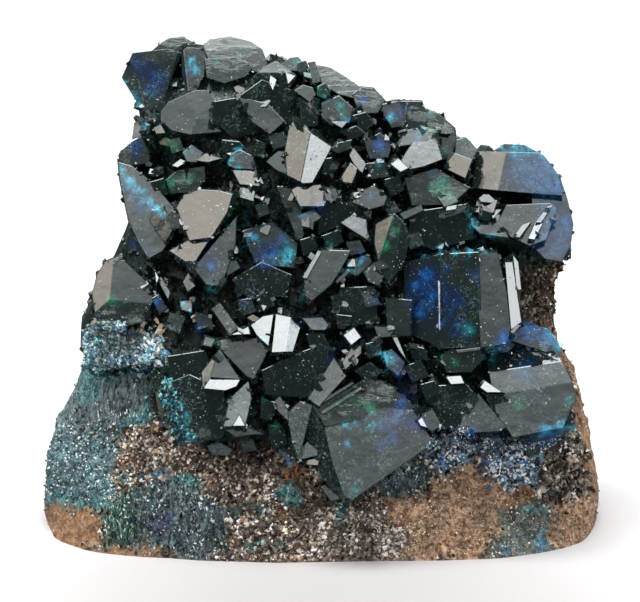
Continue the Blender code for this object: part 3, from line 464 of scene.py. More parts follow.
# %% Patches of colour on the sheet
PATCHES = {
    "deep blue": ((9, 33, 78), """
        140,65,18 160,80,16 150,92,14 130,135,14 135,150,12 190,70,10 425,280,26 420,310,22 455,300,20
        460,330,16 270,250,16 262,262,14 285,240,12 396,112,14 380,148,12 360,100,10 540,165,26
        560,185,18 560,232,20 545,245,14 400,375,16 410,395,14 398,355,10 530,335,22 500,345,12
        560,345,10 550,440,18 150,250,10 160,300,12 128,360,20 245,300,12 330,355,10 200,330,14
        375,300,12 320,205,12 345,345,10 500,440,14 470,440,14"""),
    "bright blue": ((14, 74, 150), """
        158,303,5 250,235,5 272,254,4 312,210,4 365,100,5 380,140,8 405,110,4 430,175,5 556,186,5
        550,160,4 566,222,5 425,275,6 432,296,5 414,286,4 448,268,4 420,312,4 440,325,5 362,255,6
        550,438,12 530,445,9 505,338,8 530,328,12 548,340,8 130,352,12 150,345,8 320,320,5 210,268,5
        135,243,5 470,432,6 350,122,4 400,402,6 345,442,4"""),
    "cyan": ((66, 178, 206), """
        124,84,5 130,95,6 138,104,5 150,99,5 192,60,7 198,72,5 145,125,5 230,160,6 240,150,5 238,168,4
        122,170,5 130,180,5 140,190,5 150,200,5 157,208,5 163,214,4 248,220,7 245,245,6 255,238,4
        303,215,6 285,262,8 292,255,5 515,148,8 530,147,7 500,146,5 545,154,6 558,168,5 475,225,8
        490,235,6 470,215,5 350,268,7 362,262,5 388,360,7 382,354,5 345,425,5 370,422,6 355,424,5
        348,444,4 183,305,6 190,312,4 210,290,6 390,118,5 440,250,6 455,252,6 470,250,6 485,250,5
        425,252,5 182,405,5 186,415,5 192,436,5 562,424,7 575,428,6 545,430,6 490,352,6 553,330,7
        560,345,6 385,372,4"""),
    "teal": ((28, 112, 112), """
        296,62,6 308,75,6 325,98,8 340,105,8 345,118,8 440,180,12 228,222,8 465,140,8 92,385,10 240,55,8
        168,390,8 175,402,8 186,422,8 190,438,8 357,490,8 490,358,8 100,350,16 140,350,16 570,400,8
        330,245,8 300,300,7 262,340,6 470,330,7 262,400,7 290,250,8 380,165,8 430,110,8 215,60,8"""),
    "green": ((34, 98, 68), """
        318,88,7 165,142,12 180,150,9 172,182,12 190,178,10 236,208,10 250,205,6 450,195,14 435,188,10
        480,243,8 500,240,8 338,405,10 355,400,12 372,408,10 330,416,6 110,300,10 215,345,8 275,425,8
        585,395,6 440,355,8 455,362,8 385,245,10 395,230,8 430,130,10 445,150,8 120,345,10 520,405,10"""),
    "violet": ((42, 54, 96), """
        128,130,8 262,262,9 475,275,10 385,425,12 400,415,12 415,425,12 395,440,10 380,448,9 208,245,12
        212,262,10 195,262,6 425,425,8 300,325,8 355,225,7"""),
    "slate": ((20, 56, 90), """
        140,205,18 130,185,12 520,175,24 545,180,24 558,225,22 552,245,18 548,205,14 371,198,10
        525,372,20 418,136,12 192,152,7"""),
}
PATCH_STRENGTH = 0.85
BASE_VEIL = (9, 42, 45)
WORN = """
    232,50,24 215,60,14 255,55,12 172,42,12 190,44,8 340,82,16 326,72,10 356,95,10 370,98,12 442,135,14
    430,118,8 440,188,13 458,195,10 345,408,9 365,396,10 385,394,9 325,416,5 110,318,10 135,320,9
    185,180,9 285,70,6 500,242,9 520,246,8 414,115,9 392,236,5 105,348,18 140,348,18 545,345,6 205,300,7
    225,345,6 205,432,7 240,440,7 240,195,6 350,60,8 300,82,6 120,260,6 84,340,8"""


def paint(red, green, blue):
    """A colour as a screen gives it, 0 to 255, turned into the light a shader works with."""
    return tuple((part / 255) ** 2.2 for part in (red, green, blue))


def spots_near(places, spots):
    """For each spot, written as x,y,radius, how near the places are to it, 0 to 1."""
    for spot in spots.split():
        x, y, radius = numbers(spot)
        yield np.exp(-((places - (x, y)) ** 2).sum(axis=1) / radius ** 2)


def patches_at(places):
    """The colour of the patches at places on the sheet, and how strong it is, 0 to 1."""
    sums, weights = np.zeros((len(places), 3)), np.full(len(places), 1e-6)
    clear = np.ones(len(places))
    for colour, spots in PATCHES.values():
        for near in spots_near(places, spots):
            sums += near[:, None] * paint(*colour)
            weights += near
            clear *= 1 - PATCH_STRENGTH * near
    return sums / weights[:, None], 1 - clear


print(sum(len(spots.split()) for _, spots in PATCHES.values()), "patches of colour")

# %% [markdown]
# A real crystal's edges are never knife sharp, so a narrow bevel gives each edge a line of light.
# The faces are then cut into small triangles that carry the colour. A heap gathers every shape of
# one kind into one mesh, with attributes for the finish.

# %% A heap of shapes
chance = random.Random(5)


def new_mesh(name, corners, faces):
    mesh = bpy.data.meshes.new(name)
    mesh.from_pydata(corners, [], faces)
    return mesh


def add_values(mesh, key, values, domain="POINT"):
    """Give a mesh a number or a colour for each point or face, under a name that the finish reads."""
    values = np.array(values, float)
    kind, field = ("FLOAT_COLOR", "color") if values.ndim == 2 else ("FLOAT", "value")
    mesh.attributes.new(key, kind, domain).data.foreach_set(field, values.ravel())


class Heap:
    """Gathers many shapes, with their attributes, into one mesh."""

    def __init__(self):
        self.corners, self.faces, self.own = [], [], []
        self.edges, self.facets = [], []

    def add(self, corners, faces, own, edges=None, facets=None):
        """Add corners and faces; own is the shape's own colour and share."""
        first = len(self.corners)
        self.corners.extend(corners)
        self.faces.extend([first + corner for corner in face] for face in faces)
        self.own.extend([own] * len(corners))
        self.edges.extend(edges or [0.0] * len(faces))
        self.facets.extend(facets or [chance.random() for _ in faces])

    def add_shape(self, shape, axes, own):
        shape.verts.index_update()
        edge, facet = shape.faces.layers.float["edge"], shape.faces.layers.float["facet"]
        corners = [tuple(axes @ vert.co) for vert in shape.verts]
        faces = [[vert.index for vert in face.verts] for face in shape.faces]
        edges, facets = ([face[layer] for face in shape.faces] for layer in (edge, facet))
        self.add(corners, faces, own, edges, facets)
        shape.free()

    def mesh(self, name):
        """Make the mesh, with the sheet's patches of colour and worn places painted on it."""
        mesh = new_mesh(name, self.corners, self.faces)
        add_values(mesh, "edge", self.edges, "FACE")
        add_values(mesh, "facet", self.facets, "FACE")
        own = np.array(self.own, float)
        seen = seen_at(self.corners)
        colour, share = patches_at(seen)
        share = share[:, None]
        veil = own[:, :3] * (1 - share) + colour * share
        add_values(mesh, "veil", np.hstack([veil, np.maximum(own[:, 3:], share)]))
        add_values(mesh, "worn", np.max(list(spots_near(seen, WORN)), axis=0))
        mesh.validate()
        return mesh


print("a heap gathers", ", ".join(vars(Heap())))

# %% Bevel and refine the crystals
EDGE_WIDTH = 0.07 * MM
FINE = 0.86 * MM
COARSE = 4.0 * MM
HIDDEN = 0.8 * MM  # this far under the dome a crystal is inside the crust
CRYSTAL_VEIL = (*paint(*BASE_VEIL), 0.44)


def bevel(shape, width):
    """Round every edge a little, mark the new faces and number the facets."""
    edge, facet = shape.faces.layers.float.new("edge"), shape.faces.layers.float.new("facet")
    for face in shape.faces:
        face[facet] = chance.random()
    if width:
        edges = [item for item in shape.edges if item.is_manifold]
        made = bmesh.ops.bevel(shape, geom=edges, offset=width, offset_type="OFFSET", segments=1,
                               profile=0.5, affect="EDGES", clamp_overlap=True)
        for face in made["faces"]:
            if face.is_valid:
                face[edge] = 1.0


def cut_long_edges(shape, longest):
    """Halve each edge from its longest length on, given by longest(edge); False if there are none."""
    long = [edge for edge in shape.edges if edge.calc_length() > longest(edge)]
    if long:
        bmesh.ops.subdivide_edges(shape, edges=long, cuts=1)
        bmesh.ops.triangulate(shape, faces=[face for face in shape.faces if len(face.verts) > 3])
    return bool(long)


def refine(shape, longest):
    """Cut a shape's faces into triangles with no long edges."""
    bmesh.ops.triangulate(shape, faces=shape.faces)
    for _ in range(5):
        if not cut_long_edges(shape, longest):
            break


def fine_above_crust(edge):
    """The crystals are cut finely where they show, and coarsely where the crust hides them."""
    middle = (edge.verts[0].co + edge.verts[1].co) / 2
    return FINE if middle.z > dome_height(middle) - HIDDEN else COARSE


crystal_heap = Heap()
for crystal in CRYSTALS.values():
    shape = face_crystal(crystal)
    bevel(shape, EDGE_WIDTH)
    refine(shape, fine_above_crust)
    crystal_heap.add_shape(shape, FACE_AXES, CRYSTAL_VEIL)
crystal_mesh = crystal_heap.mesh("lazulite_crystals")
print(len(crystal_mesh.polygons), "faces in the crystals")


# %% [markdown]
# ## The finish of lazulite
# Lazulite is glassy and nearly opaque. Its base colour is a navy so dark that the crystal looks
# black until a face mirrors a light. The shader keeps a low roughness and the mineral's own
# refractive index, and mixes the veils in where a soft noise is high. Small shader groups hold what
# the finishes share: specks of dust and painted glints, veils of colour, and fine fissures.

# %% Helpers for shader nodes
class Nodes:
    """A node tree with short ways to add and join nodes."""

    def __init__(self, tree):
        self.tree = tree

    def feed(self, sockets, values):
        """Join nodes' outputs to named or numbered sockets, or set the sockets to plain values."""
        for key, value in values.items():
            if isinstance(value, bpy.types.NodeSocket):
                self.tree.links.new(value, sockets[key])
            else:
                sockets[key].default_value = value

    def add(self, kind, inputs=None, **settings):
        node = self.tree.nodes.new(kind)
        for key, value in settings.items():
            setattr(node, key, value)
        self.feed(node.inputs, inputs or {})
        return node

    def use(self, group, place, **inputs):
        """Use a shader group; it gives back the group's outputs."""
        return self.add("ShaderNodeGroup", {"Place": place, **inputs}, node_tree=group).outputs

    def math(self, operation, *values):
        return self.add("ShaderNodeMath", dict(enumerate(values)), operation=operation).outputs[0]

    def times(self, one, two):
        return self.math("MULTIPLY", one, two)

    def vector(self, operation, *values, output="Vector"):
        node = self.add("ShaderNodeVectorMath", dict(enumerate(values)), operation=operation)
        return node.outputs[output]

    def ramp(self, value, low, high, start=0.0, end=1.0):
        """Smoothly map low..high to start..end."""
        inputs = {"Value": value, "From Min": low, "From Max": high, "To Min": start, "To Max": end}
        return self.add("ShaderNodeMapRange", inputs, interpolation_type="SMOOTHSTEP").outputs[0]

    def mix(self, share, one, two, blend="MIX"):
        inputs = {0: share, 6: one, 7: two}
        return self.add("ShaderNodeMix", inputs, data_type="RGBA", blend_type=blend).outputs[2]

    def dim(self, colour, factor):
        """A colour times a number."""
        grey = self.add("ShaderNodeCombineColor", {0: factor, 1: factor, 2: factor}).outputs[0]
        return self.mix(1.0, colour, grey, "MULTIPLY")

    def noise(self, place, scale, detail=3.0, roughness=0.55, distortion=0.0):
        return self.add("ShaderNodeTexNoise", {"Vector": place, "Scale": scale, "Detail": detail,
                                               "Roughness": roughness, "Distortion": distortion}).outputs[0]

    def attribute(self, name, output="Fac"):
        return self.add("ShaderNodeAttribute", attribute_name=name).outputs[output]

    def place(self):
        """Where a point is on the specimen, in metres."""
        return self.add("ShaderNodeTexCoord").outputs["Object"]

    def bump(self, height, strength, distance):
        inputs = {"Strength": strength, "Distance": distance, "Height": height}
        return self.add("ShaderNodeBump", inputs).outputs[0]


def group(name, inputs, outputs):
    """Start a shader group that works at a place, with more inputs and its outputs, all numbers."""
    tree = bpy.data.node_groups.new(name, "ShaderNodeTree")
    tree.interface.new_socket("Place", in_out="INPUT", socket_type="NodeSocketVector")
    for label in inputs:
        tree.interface.new_socket(label, in_out="INPUT", socket_type="NodeSocketFloat")
    for label in outputs:
        tree.interface.new_socket(label, in_out="OUTPUT", socket_type="NodeSocketFloat")
    nodes = Nodes(tree)
    return nodes, nodes.add("NodeGroupInput").outputs, nodes.add("NodeGroupOutput").inputs


def material(name):
    made = bpy.data.materials.new(name)
    made.use_nodes = True
    return made, Nodes(made.node_tree), made.node_tree.nodes["Principled BSDF"].inputs


print("helpers:", [name for name in vars(Nodes) if not name.startswith("_")])

# %% Groups for specks of dust and painted glints, and for veils
dust, inside, outside = group("dust and glint specks", ["Spacing", "Share"], ["Mask", "Chance"])
wobble = dust.noise(inside["Place"], 9000.0, 2.0, 0.6)
cells = dust.add("ShaderNodeTexVoronoi", {"Vector": inside["Place"], "Scale": inside["Spacing"]}).outputs
parts = dust.add("ShaderNodeSeparateColor", {0: cells["Color"]}).outputs
chosen = dust.math("LESS_THAN", parts[0], inside["Share"])
reach = dust.times(parts[1], dust.ramp(wobble, 0.3, 0.7, 0.12, 0.62))
speck = dust.math("LESS_THAN", cells["Distance"], reach)
dust.feed(outside, {"Mask": dust.times(chosen, speck), "Chance": parts[2]})

veils, inside, outside = group("veils of colour", ["Share"], ["Mask", "Bright"])
wisps = veils.noise(inside["Place"], 650.0, 8.0, 0.72, 1.2)
fine = veils.noise(inside["Place"], 3600.0, 5.0, 0.75, 0.8)
both = veils.math("ADD", veils.times(wisps, 0.58), veils.times(fine, 0.42))
border = veils.math("SUBTRACT", 0.68, veils.times(inside["Share"], 0.30))
within = veils.math("SUBTRACT", both, border)
veils.feed(outside, {"Mask": veils.ramp(within, -0.04, 0.10), "Bright": veils.ramp(within, 0.06, 0.16)})
print("groups:", dust.tree.name, "and", veils.tree.name)

# %% A group for fissures
fissures, inside, outside = group("fine fissures", [], ["Mask"])
lines = []
for scale, twist in ((520.0, 1.6), (1300.0, 0.8)):
    swirl = fissures.noise(inside["Place"], scale, 3.0, 0.62, twist)
    off = fissures.math("ABSOLUTE", fissures.math("SUBTRACT", swirl, 0.5))
    lines.append(fissures.ramp(off, 0.002, 0.016, 1.0, 0.0))
where = fissures.ramp(fissures.noise(inside["Place"], 330.0, 2.0, 0.5), 0.38, 0.56)
grain = fissures.ramp(fissures.noise(inside["Place"], 2600.0, 3.0, 0.6), 0.42, 0.62)
both = fissures.math("MAXIMUM", lines[0], fissures.times(lines[1], 0.7))
haze = fissures.times(grain, 0.05)
broken = fissures.math("MAXIMUM", fissures.times(both, grain), haze)
fissures.feed(outside, {"Mask": fissures.times(where, broken)})
print("group:", fissures.tree.name)

# %% [markdown]
# The finish itself goes from the inside out: the veils, a painted line of light along the edges, the
# worn and streaky tops, the fissures, and on top specks of dust and painted glints. The arguments set
# what differs between large faces, the rough crust and the small crystals.

# %% Lazulite
NAVY = (0.0085, 0.0150, 0.0140, 1.0)
PALE_DUST_AND_GLINT = (0.50, 0.49, 0.45, 1.0)
DARK_DUST = (0.060, 0.052, 0.040, 1.0)
WORN_GREY = (0.026, 0.042, 0.035, 1.0)
FISSURE_GREY = (0.130, 0.215, 0.200, 1.0)
BRIGHTER = (2.4, 1.8, 1.4, 1.0)
CYAN_LIGHT = (0.16, 0.55, 0.68, 1.0)
LAZULITE_INDEX = 1.63
SPECK_SPACING = 4400.0


def lazulite(name, rough_low, rough_high, dust_and_glint_share, bump, shine):
    made, nodes, surface = material(name)
    place = nodes.place()
    grime = nodes.noise(place, 260.0, 5.0, 0.65)
    veil, strength = nodes.attribute("veil", "Color"), nodes.attribute("veil", "Alpha")
    patches = nodes.use(veils.tree, place, Share=strength)
    colour = nodes.mix(patches["Mask"], NAVY, veil)
    light = nodes.mix(0.10, nodes.mix(1.0, veil, BRIGHTER, "MULTIPLY"), CYAN_LIGHT)
    brightest = nodes.times(patches["Bright"], nodes.ramp(strength, 0.35, 0.9))
    colour = nodes.mix(nodes.times(brightest, 0.8), colour, light)
    # A thin line along the bevelled edges is painted lighter: a painted line of light.
    colour = nodes.mix(nodes.times(nodes.attribute("edge"), nodes.times(strength, 0.28)), colour, light)

    along = nodes.vector("MULTIPLY", place, (0.22, 1.0, 0.9))
    streaks = nodes.noise(along, 1500.0, 6.0, 0.72, 0.9)
    patchy = nodes.math("ADD", nodes.attribute("worn"), nodes.math("SUBTRACT", grime, 0.5))
    crevice = nodes.ramp(nodes.noise(along, 620.0, 4.0, 0.6, 1.4), 0.44, 0.50)
    worn = nodes.times(nodes.ramp(patchy, 0.25, 0.75), nodes.ramp(streaks, 0.44, 0.58))
    worn = nodes.times(worn, crevice)
    colour = nodes.mix(nodes.times(worn, 0.85), colour, WORN_GREY)
    lightest = nodes.times(worn, nodes.ramp(streaks, 0.58, 0.68))
    colour = nodes.mix(nodes.times(lightest, 0.4), colour, PALE_DUST_AND_GLINT)

    cracked = nodes.ramp(nodes.attribute("facet"), 0.30, 0.60)
    cracks = nodes.times(nodes.use(fissures.tree, place)["Mask"], cracked)
    colour = nodes.mix(cracks, colour, FISSURE_GREY)
    # The pale specks are partly dust and partly painted glints; the dark specks are dust.
    specks = nodes.use(dust.tree, place, Spacing=SPECK_SPACING, Share=dust_and_glint_share)
    dusty = nodes.times(specks["Mask"], nodes.ramp(grime, 0.40, 0.60, 0.15, 1.0))
    tone = nodes.mix(nodes.ramp(specks["Chance"], 0.5, 0.7), DARK_DUST, PALE_DUST_AND_GLINT)
    colour = nodes.mix(dusty, colour, tone)

    uneven = nodes.math("ADD", nodes.times(nodes.attribute("facet"), 0.5), nodes.times(grime, 0.5))
    rough = nodes.ramp(uneven, 0.3, 0.8, rough_low, rough_high)
    rough = nodes.math("MAXIMUM", rough, nodes.times(dusty, 0.7))
    rough = nodes.math("MAXIMUM", rough, nodes.times(worn, 0.75))
    wave = nodes.noise(place, 240.0, 3.0, 0.5)
    height = nodes.math("ADD", nodes.times(nodes.noise(place, 2600.0, 4.0, 0.6), 0.06), wave)
    height = nodes.math("ADD", height, nodes.times(streaks, nodes.times(worn, 0.9)))
    nodes.feed(surface, {"Base Color": colour, "Roughness": rough, "Normal": nodes.bump(height, bump, 0.0006),
                         "IOR": LAZULITE_INDEX, "Specular IOR Level": shine})
    return made


def put_in_scene(name, data):
    """Make an object of a mesh, a light or a camera, and put it in the scene."""
    made = bpy.data.objects.new(name, data)
    bpy.context.scene.collection.objects.link(made)
    return made


def piece(mesh, finish, node):
    """Make a piece that rides on the specimen, and hide the solid that it stands for."""
    mesh.materials.append(finish)
    made = put_in_scene(mesh.name, mesh)
    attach(made, "root")
    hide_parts(node)


crystal_finish = lazulite("lazulite faces", 0.03, 0.16, 0.18, 0.24, 0.5)
rough_finish = lazulite("lazulite rough", 0.28, 0.55, 0.25, 0.8, 0.15)
small_finish = lazulite("small lazulite", 0.03, 0.18, 0.30, 0.35, 0.42)
piece(crystal_mesh, crystal_finish, "lazulite_cluster")
print("finishes:", crystal_finish.name, "and", rough_finish.name, "and", small_finish.name)


# %% [markdown]
# ## The crust between the crystals
# Behind the drawn crystals the rock carries a crust of smaller ones, round the top and the sides
# too. The packed solid already has that shape, so a copy is drawn in by a hair, to lie under the
# drawn crystals, and gets the same finish, rougher.

# %% The crust
SINK = 0.14 * MM
LEFT_EDGE, RIGHT_EDGE = -30.9 * MM, 31.6 * MM  # crust beyond these would show past the drawn crystals
CRUST_FINE = 1.6 * FINE
CRUST_VEIL = (*paint(*BASE_VEIL), 0.50)


def copy_of(node):
    shape = bmesh.new()
    shape.from_mesh(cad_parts[node].data)
    bmesh.ops.remove_doubles(shape, verts=shape.verts, dist=0.001 * MM)
    bmesh.ops.recalc_face_normals(shape, faces=shape.faces)
    return shape


shape = copy_of("lazulite_cluster")
flatten(shape, 1.0)
shape.normal_update()
for vert in shape.verts:
    vert.co -= vert.normal * SINK
cut_away(shape, Vector((LEFT_EDGE, 0, 0)), Vector((-1, 0, 0)))
cut_away(shape, Vector((RIGHT_EDGE, 0, 0)), Vector((1, 0, 0)))
bevel(shape, 0)
refine(shape, lambda edge: CRUST_FINE)
crust_heap = Heap()
crust_heap.add_shape(shape, Matrix.Identity(4), CRUST_VEIL)
crust_mesh = crust_heap.mesh("crystal_crust")
piece(crust_mesh, rough_finish, "lazulite_cluster")
print(len(crust_mesh.polygons), "faces in the crust")


# %% [markdown]
# ## The rock's surface
# The rock is a brown sandstone-like matrix with crusts of tiny crystals in many colours. A dense
# copy of its solid gets lumps and dents, always inwards, so that the grains set on it later stay
# within the solid. What grows where is painted in zones on the sheet, with a wavering border. A
# zone has its grains' sizes in millimetres, how long they are for their width, their colours, the
# zone's outlines, the rock's dark and light colours there, and how closely the grains cover it.

# %% Zones of the rock
FULL_COVER = 1.3
Zone = namedtuple("Zone", "size stretch grains outlines deep pale cover", defaults=[None, None, FULL_COVER])


def zone(size, stretch, grains, outlines="", *ground):
    """Read a zone whose colours and outlines are written as texts."""
    return Zone(size, stretch, [numbers(grain) for grain in grains.split()], outlines.split("/"), *ground)


ZONES = {
    "druse": zone((0.26, 0.70), 1.3, """
        34,26,22 60,48,40 92,78,66 132,118,104 160,150,134 206,200,188 142,140,134 116,108,98 74,66,60
        44,37,33 176,166,152 100,82,66""", """
        0,380 640,380 640,602 0,602""",
        (24, 18, 14), (122, 106, 92)),
    "pale druse": zone((0.26, 0.64), 1.3, """
        206,200,188 176,166,152 142,140,134 60,48,40 232,228,218 116,108,98 92,74,60""", """
        306,518 345,506 392,506 402,535 402,564 306,564""",
        (38, 30, 26), (150, 134, 118)),
    "green gap": zone((0.14, 0.36), 1.3, """
        20,34,32 60,84,78 150,170,160 12,20,20 34,60,66 84,100,94""", """
        104,70 160,37 270,48 350,80 440,110 486,150 562,160 572,256 520,250 510,330 560,430 500,440
        400,460 352,494 322,470 262,440 186,438 166,425 160,372 100,368 84,320 100,262 130,230 120,150""",
        (8, 16, 15), (46, 64, 58), 1.2),
    "coarse druse": zone((0.40, 1.05), 1.3, """
        34,28,24 56,48,42 88,78,68 150,138,124 200,190,176 30,26,24 110,100,90""", """
        534,434 560,436 580,440 593,470 592,500 560,502 534,494""",
        (30, 24, 20), (92, 82, 72)),
    "dark druse": zone((0.30, 0.70), 1.3, """
        36,26,18 84,66,50 186,176,156 18,13,10 126,108,86 28,22,18 150,134,112""", """
        510,250 568,250 560,322 514,330""",
        (14, 10, 8), (74, 58, 44)),
    "tan": zone((0.10, 0.24), 1.2, """
        134,102,74 106,76,54 180,154,126 200,184,160""", """
        40,506 75,505 98,508 101,530 98,549 60,556 36,540 /
        104,548 125,542 145,541 166,547 190,556 110,566 /
        551,320 562,350 571,378 578,400 583,440 586,480 589,506 620,506 620,320""",
        (104, 74, 52), (158, 126, 98), 0.6),
    "brown patch": zone((0.12, 0.28), 1.2, """
        140,104,72 104,68,44 180,150,120 210,196,174 78,52,36 156,118,86 196,184,168 120,84,58
        150,138,128""", """
        389,503 421,497 433,486 438,474 450,469 471,469 489,478 502,488 532,492 534,502 510,508 503,522
        490,545 478,566 430,566 405,548 395,525 /
        556,500 606,496 606,532 570,552 552,548 550,520""",
        (90, 64, 46), (188, 158, 130)),
    "pale brown": zone((0.14, 0.30), 1.2, """
        190,170,144 142,112,84 214,202,184 104,76,54 166,146,126""", """
        402,524 424,520 436,540 430,562 404,556 / 478,498 498,500 496,520 484,540 474,526 /
        430,506 446,504 448,516 434,518 / 454,540 470,538 470,558 452,558""",
        (88, 64, 46), (178, 152, 126)),
    "silver": zone((0.14, 0.36), 1.8, """
        30,54,64 96,128,132 200,212,208 240,242,238 24,36,46 84,120,124 150,166,166 60,90,100""", """
        36,424 80,420 104,416 128,424 116,444 117,470 112,492 106,506 60,508 36,506""",
        (24, 44, 52), (104, 130, 132)),
    "bright silver": zone((0.18, 0.56), 1.9, """
        150,168,178 232,238,240 255,255,255 10,16,26 40,84,134 222,230,234 255,255,255 22,34,52
        110,134,150""", """
        424,436 450,430 482,434 478,462 452,470 428,472 /
        488,446 520,444 536,452 538,488 510,492 490,474""",
        (12, 26, 42), (124, 144, 158)),
    "streaky": zone((0.12, 0.28), 4.0, """
        20,48,44 60,100,86 190,200,188 12,20,26 100,140,132 36,70,96 130,150,140""", """
        101,494 142,490 140,540 104,548""",
        (12, 28, 28), (84, 112, 102)),
    "night": zone((0.14, 0.34), 2.2, """
        14,20,30 30,42,56 84,98,104 214,218,214 40,58,84 30,66,70 150,160,156 60,72,74 20,30,36""", """
        138,484 190,478 206,492 226,506 230,552 190,562 166,556 138,544 /
        372,462 434,463 432,486 420,496 392,500 372,490 / 470,432 514,432 512,452 488,462 478,452""",
        (16, 26, 32), (98, 114, 114)),
    "grey lump": zone((0.10, 0.24), 4.0, """
        60,84,88 120,136,140 178,188,190 34,46,54 210,216,214""", """
        50,390 70,376 100,370 148,374 148,424 128,430 104,424 50,428""",
        (36, 50, 56), (120, 136, 138), 0.8),
    "dusty teal": zone((0.14, 0.36), 1.4, """
        84,98,94 142,146,136 94,92,84 206,204,192 36,46,48 66,98,104 120,110,98""", """
        502,508 548,506 556,520 552,552 524,562 488,562 496,540""",
        (46, 56, 54), (124, 128, 118)),
    # Painted shade: the rock in this narrow gap beside the crystals' foot is painted nearly black.
    "shaded gap": zone((0.16, 0.40), 1.3, """
        30,22,16 52,38,28 20,14,10 84,68,54""", """
        150,376 165,376 168,430 160,442 150,428 146,404 / 100,426 128,430 120,436 102,434""",
        (10, 7, 5), (38, 28, 21), 1.0),
    "teal": zone((0.12, 0.32), 1.6, """
        50,110,118 110,160,160 28,60,66 190,206,198 64,130,150 90,110,104 24,40,44""", """
        70,364 156,362 152,376 100,376 98,396 74,398 /
        140,388 152,390 150,424 128,434 104,430 120,424 142,416 / 44,500 106,498 104,508 44,509 /
        279,486 300,486 302,504 282,506 / 250,505 271,505 268,517 252,516 /
        228,506 242,506 240,518 228,516 / 240,538 264,537 262,550 242,549 /
        272,542 284,542 284,552 272,552 / 170,478 200,474 202,488 172,490 /
        122,470 142,469 142,480 122,480 / 526,502 546,502 544,514 528,512 /
        544,426 582,422 584,434 548,436 / 332,504 352,504 350,522 334,522""",
        (20, 60, 66), (96, 140, 138)),
    "light blue": zone((0.14, 0.32), 1.5, """
        70,140,180 160,204,214 40,84,130 110,130,130""", """
        148,470 164,470 162,482 150,482 / 279,455 298,455 297,465 280,465 /
        521,436 541,436 540,456 524,452 / 462,454 472,454 471,466 462,466 /
        540,536 550,534 550,544 540,544 / 505,550 516,550 514,558 506,558""",
        (24, 72, 104), (100, 150, 170)),
    "violet": zone((0.14, 0.32), 1.5, """
        70,78,110 100,108,130 40,48,70 150,156,160""", """
        480,458 495,458 494,472 482,471 / 150,515 168,512 168,538 152,538""",
        (36, 42, 66), (84, 92, 112), 1.2),
    "rust": zone((0.14, 0.36), 1.3, """
        130,84,56 160,120,92 84,52,36 190,160,130 60,40,30""", """
        282,468 302,468 302,484 284,484 / 276,510 286,510 286,520 276,520 /
        115,457 128,457 128,469 115,468 / 512,488 534,490 532,500 512,498""",
        (70, 44, 30), (150, 112, 84)),
}


def zone_share(places, outline, feather):
    """How far inside an outline places are, as 0 to 1 across a soft border."""
    points = np.array([numbers(spot) for spot in outline.split()])
    nearest, hit = np.full(len(places), 1e9), np.zeros(len(places), bool)
    for one, two in zip(points, np.roll(points, -1, axis=0)):
        along = two - one
        share = np.clip(((places - one) @ along) / (along @ along), 0, 1)
        nearest = np.minimum(nearest, np.linalg.norm(places - one - share[:, None] * along, axis=1))
        if one[1] != two[1]:
            crossing = one[0] + (places[:, 1] - one[1]) * along[0] / along[1]
            hit ^= ((one[1] > places[:, 1]) != (two[1] > places[:, 1])) & (places[:, 0] < crossing)
    return np.clip(0.5 + np.where(hit, nearest, -nearest) / feather, 0, 1)



print(len(ZONES), "zones")

# %% [markdown]
# The lumps come from noise: broad ones, then crumbs, then grit. On the streaky crusts the noise is
# stretched upwards, which gives their vertical ribs. Faces turned to the back stay plain brown rock,
# and cloudy noise makes the colours uneven everywhere.

# %% Shape and paint the rock
ROCK_FINE, ROCK_BACK_FINE = 0.62 * MM, 1.3 * MM
DEEPEST = 1.15 * MM
WAVER, WAVER_FINE, BORDER = 11.0, 6.0, 7.0
PLAIN_DEEP, PLAIN_PALE = (74, 54, 42), (140, 108, 84)
SMOOTH_ZONES = ("tan", "grey lump")
RIBBED = 2  # zones whose grains are longer than this for their width have upright ribs
FRONT_FROM, FRONT_SPAN = 0.02, 0.15
CLOUDS, BLOTCHES, PALEST = 7.0 * MM, 2.2 * MM, 0.8
BROAD, CRUMB, GRIT, RIB = 5.5 * MM, 1.5 * MM, 0.55 * MM, 0.7 * MM
UPRIGHT = (1, 1, 0.22)
FOOT = 1.2 * MM  # below this height the lumps fade out, so the foot stays flat


def rock_fine(edge):
    """The rock is cut finely in front and coarsely at the back."""
    return ROCK_FINE if edge.link_faces[0].normal.dot(OUT) > 0.05 else ROCK_BACK_FINE


shape = copy_of("matrix")
bmesh.ops.triangulate(shape, faces=shape.faces)
for _ in range(6):
    shape.normal_update()
    if not cut_long_edges(shape, rock_fine):
        break
bmesh.ops.smooth_vert(shape, verts=shape.verts, factor=0.3,
                      use_axis_x=True, use_axis_y=True, use_axis_z=False)
shape.normal_update()
points = np.array([vert.co for vert in shape.verts])
normals = np.array([vert.normal for vert in shape.verts])


def noise_at(places, size, start=0.0):
    """Soft noise, about -1 to 1, with lumps of one size."""
    return np.array([noise.noise(Vector(place) / size + Vector((start, 1.3, 2.7))) for place in places])


def waver(places):
    """Shift places on the sheet a little this way and that, so that borders drawn there waver."""
    def both_ways(size, starts):
        layers = [np.insert(places, 2, start, axis=1) for start in starts]
        return np.stack([noise_at(layer, size, start) for layer, start in zip(layers, starts)], axis=1)

    return places + WAVER * both_ways(24.0, (3, 9)) + WAVER_FINE * both_ways(6.0, (5, 7))


def inside_zone(places, ground):
    """How far inside any of a zone's outlines places are, 0 to 1."""
    return np.max([zone_share(places, outline, BORDER) for outline in ground.outlines], axis=0)


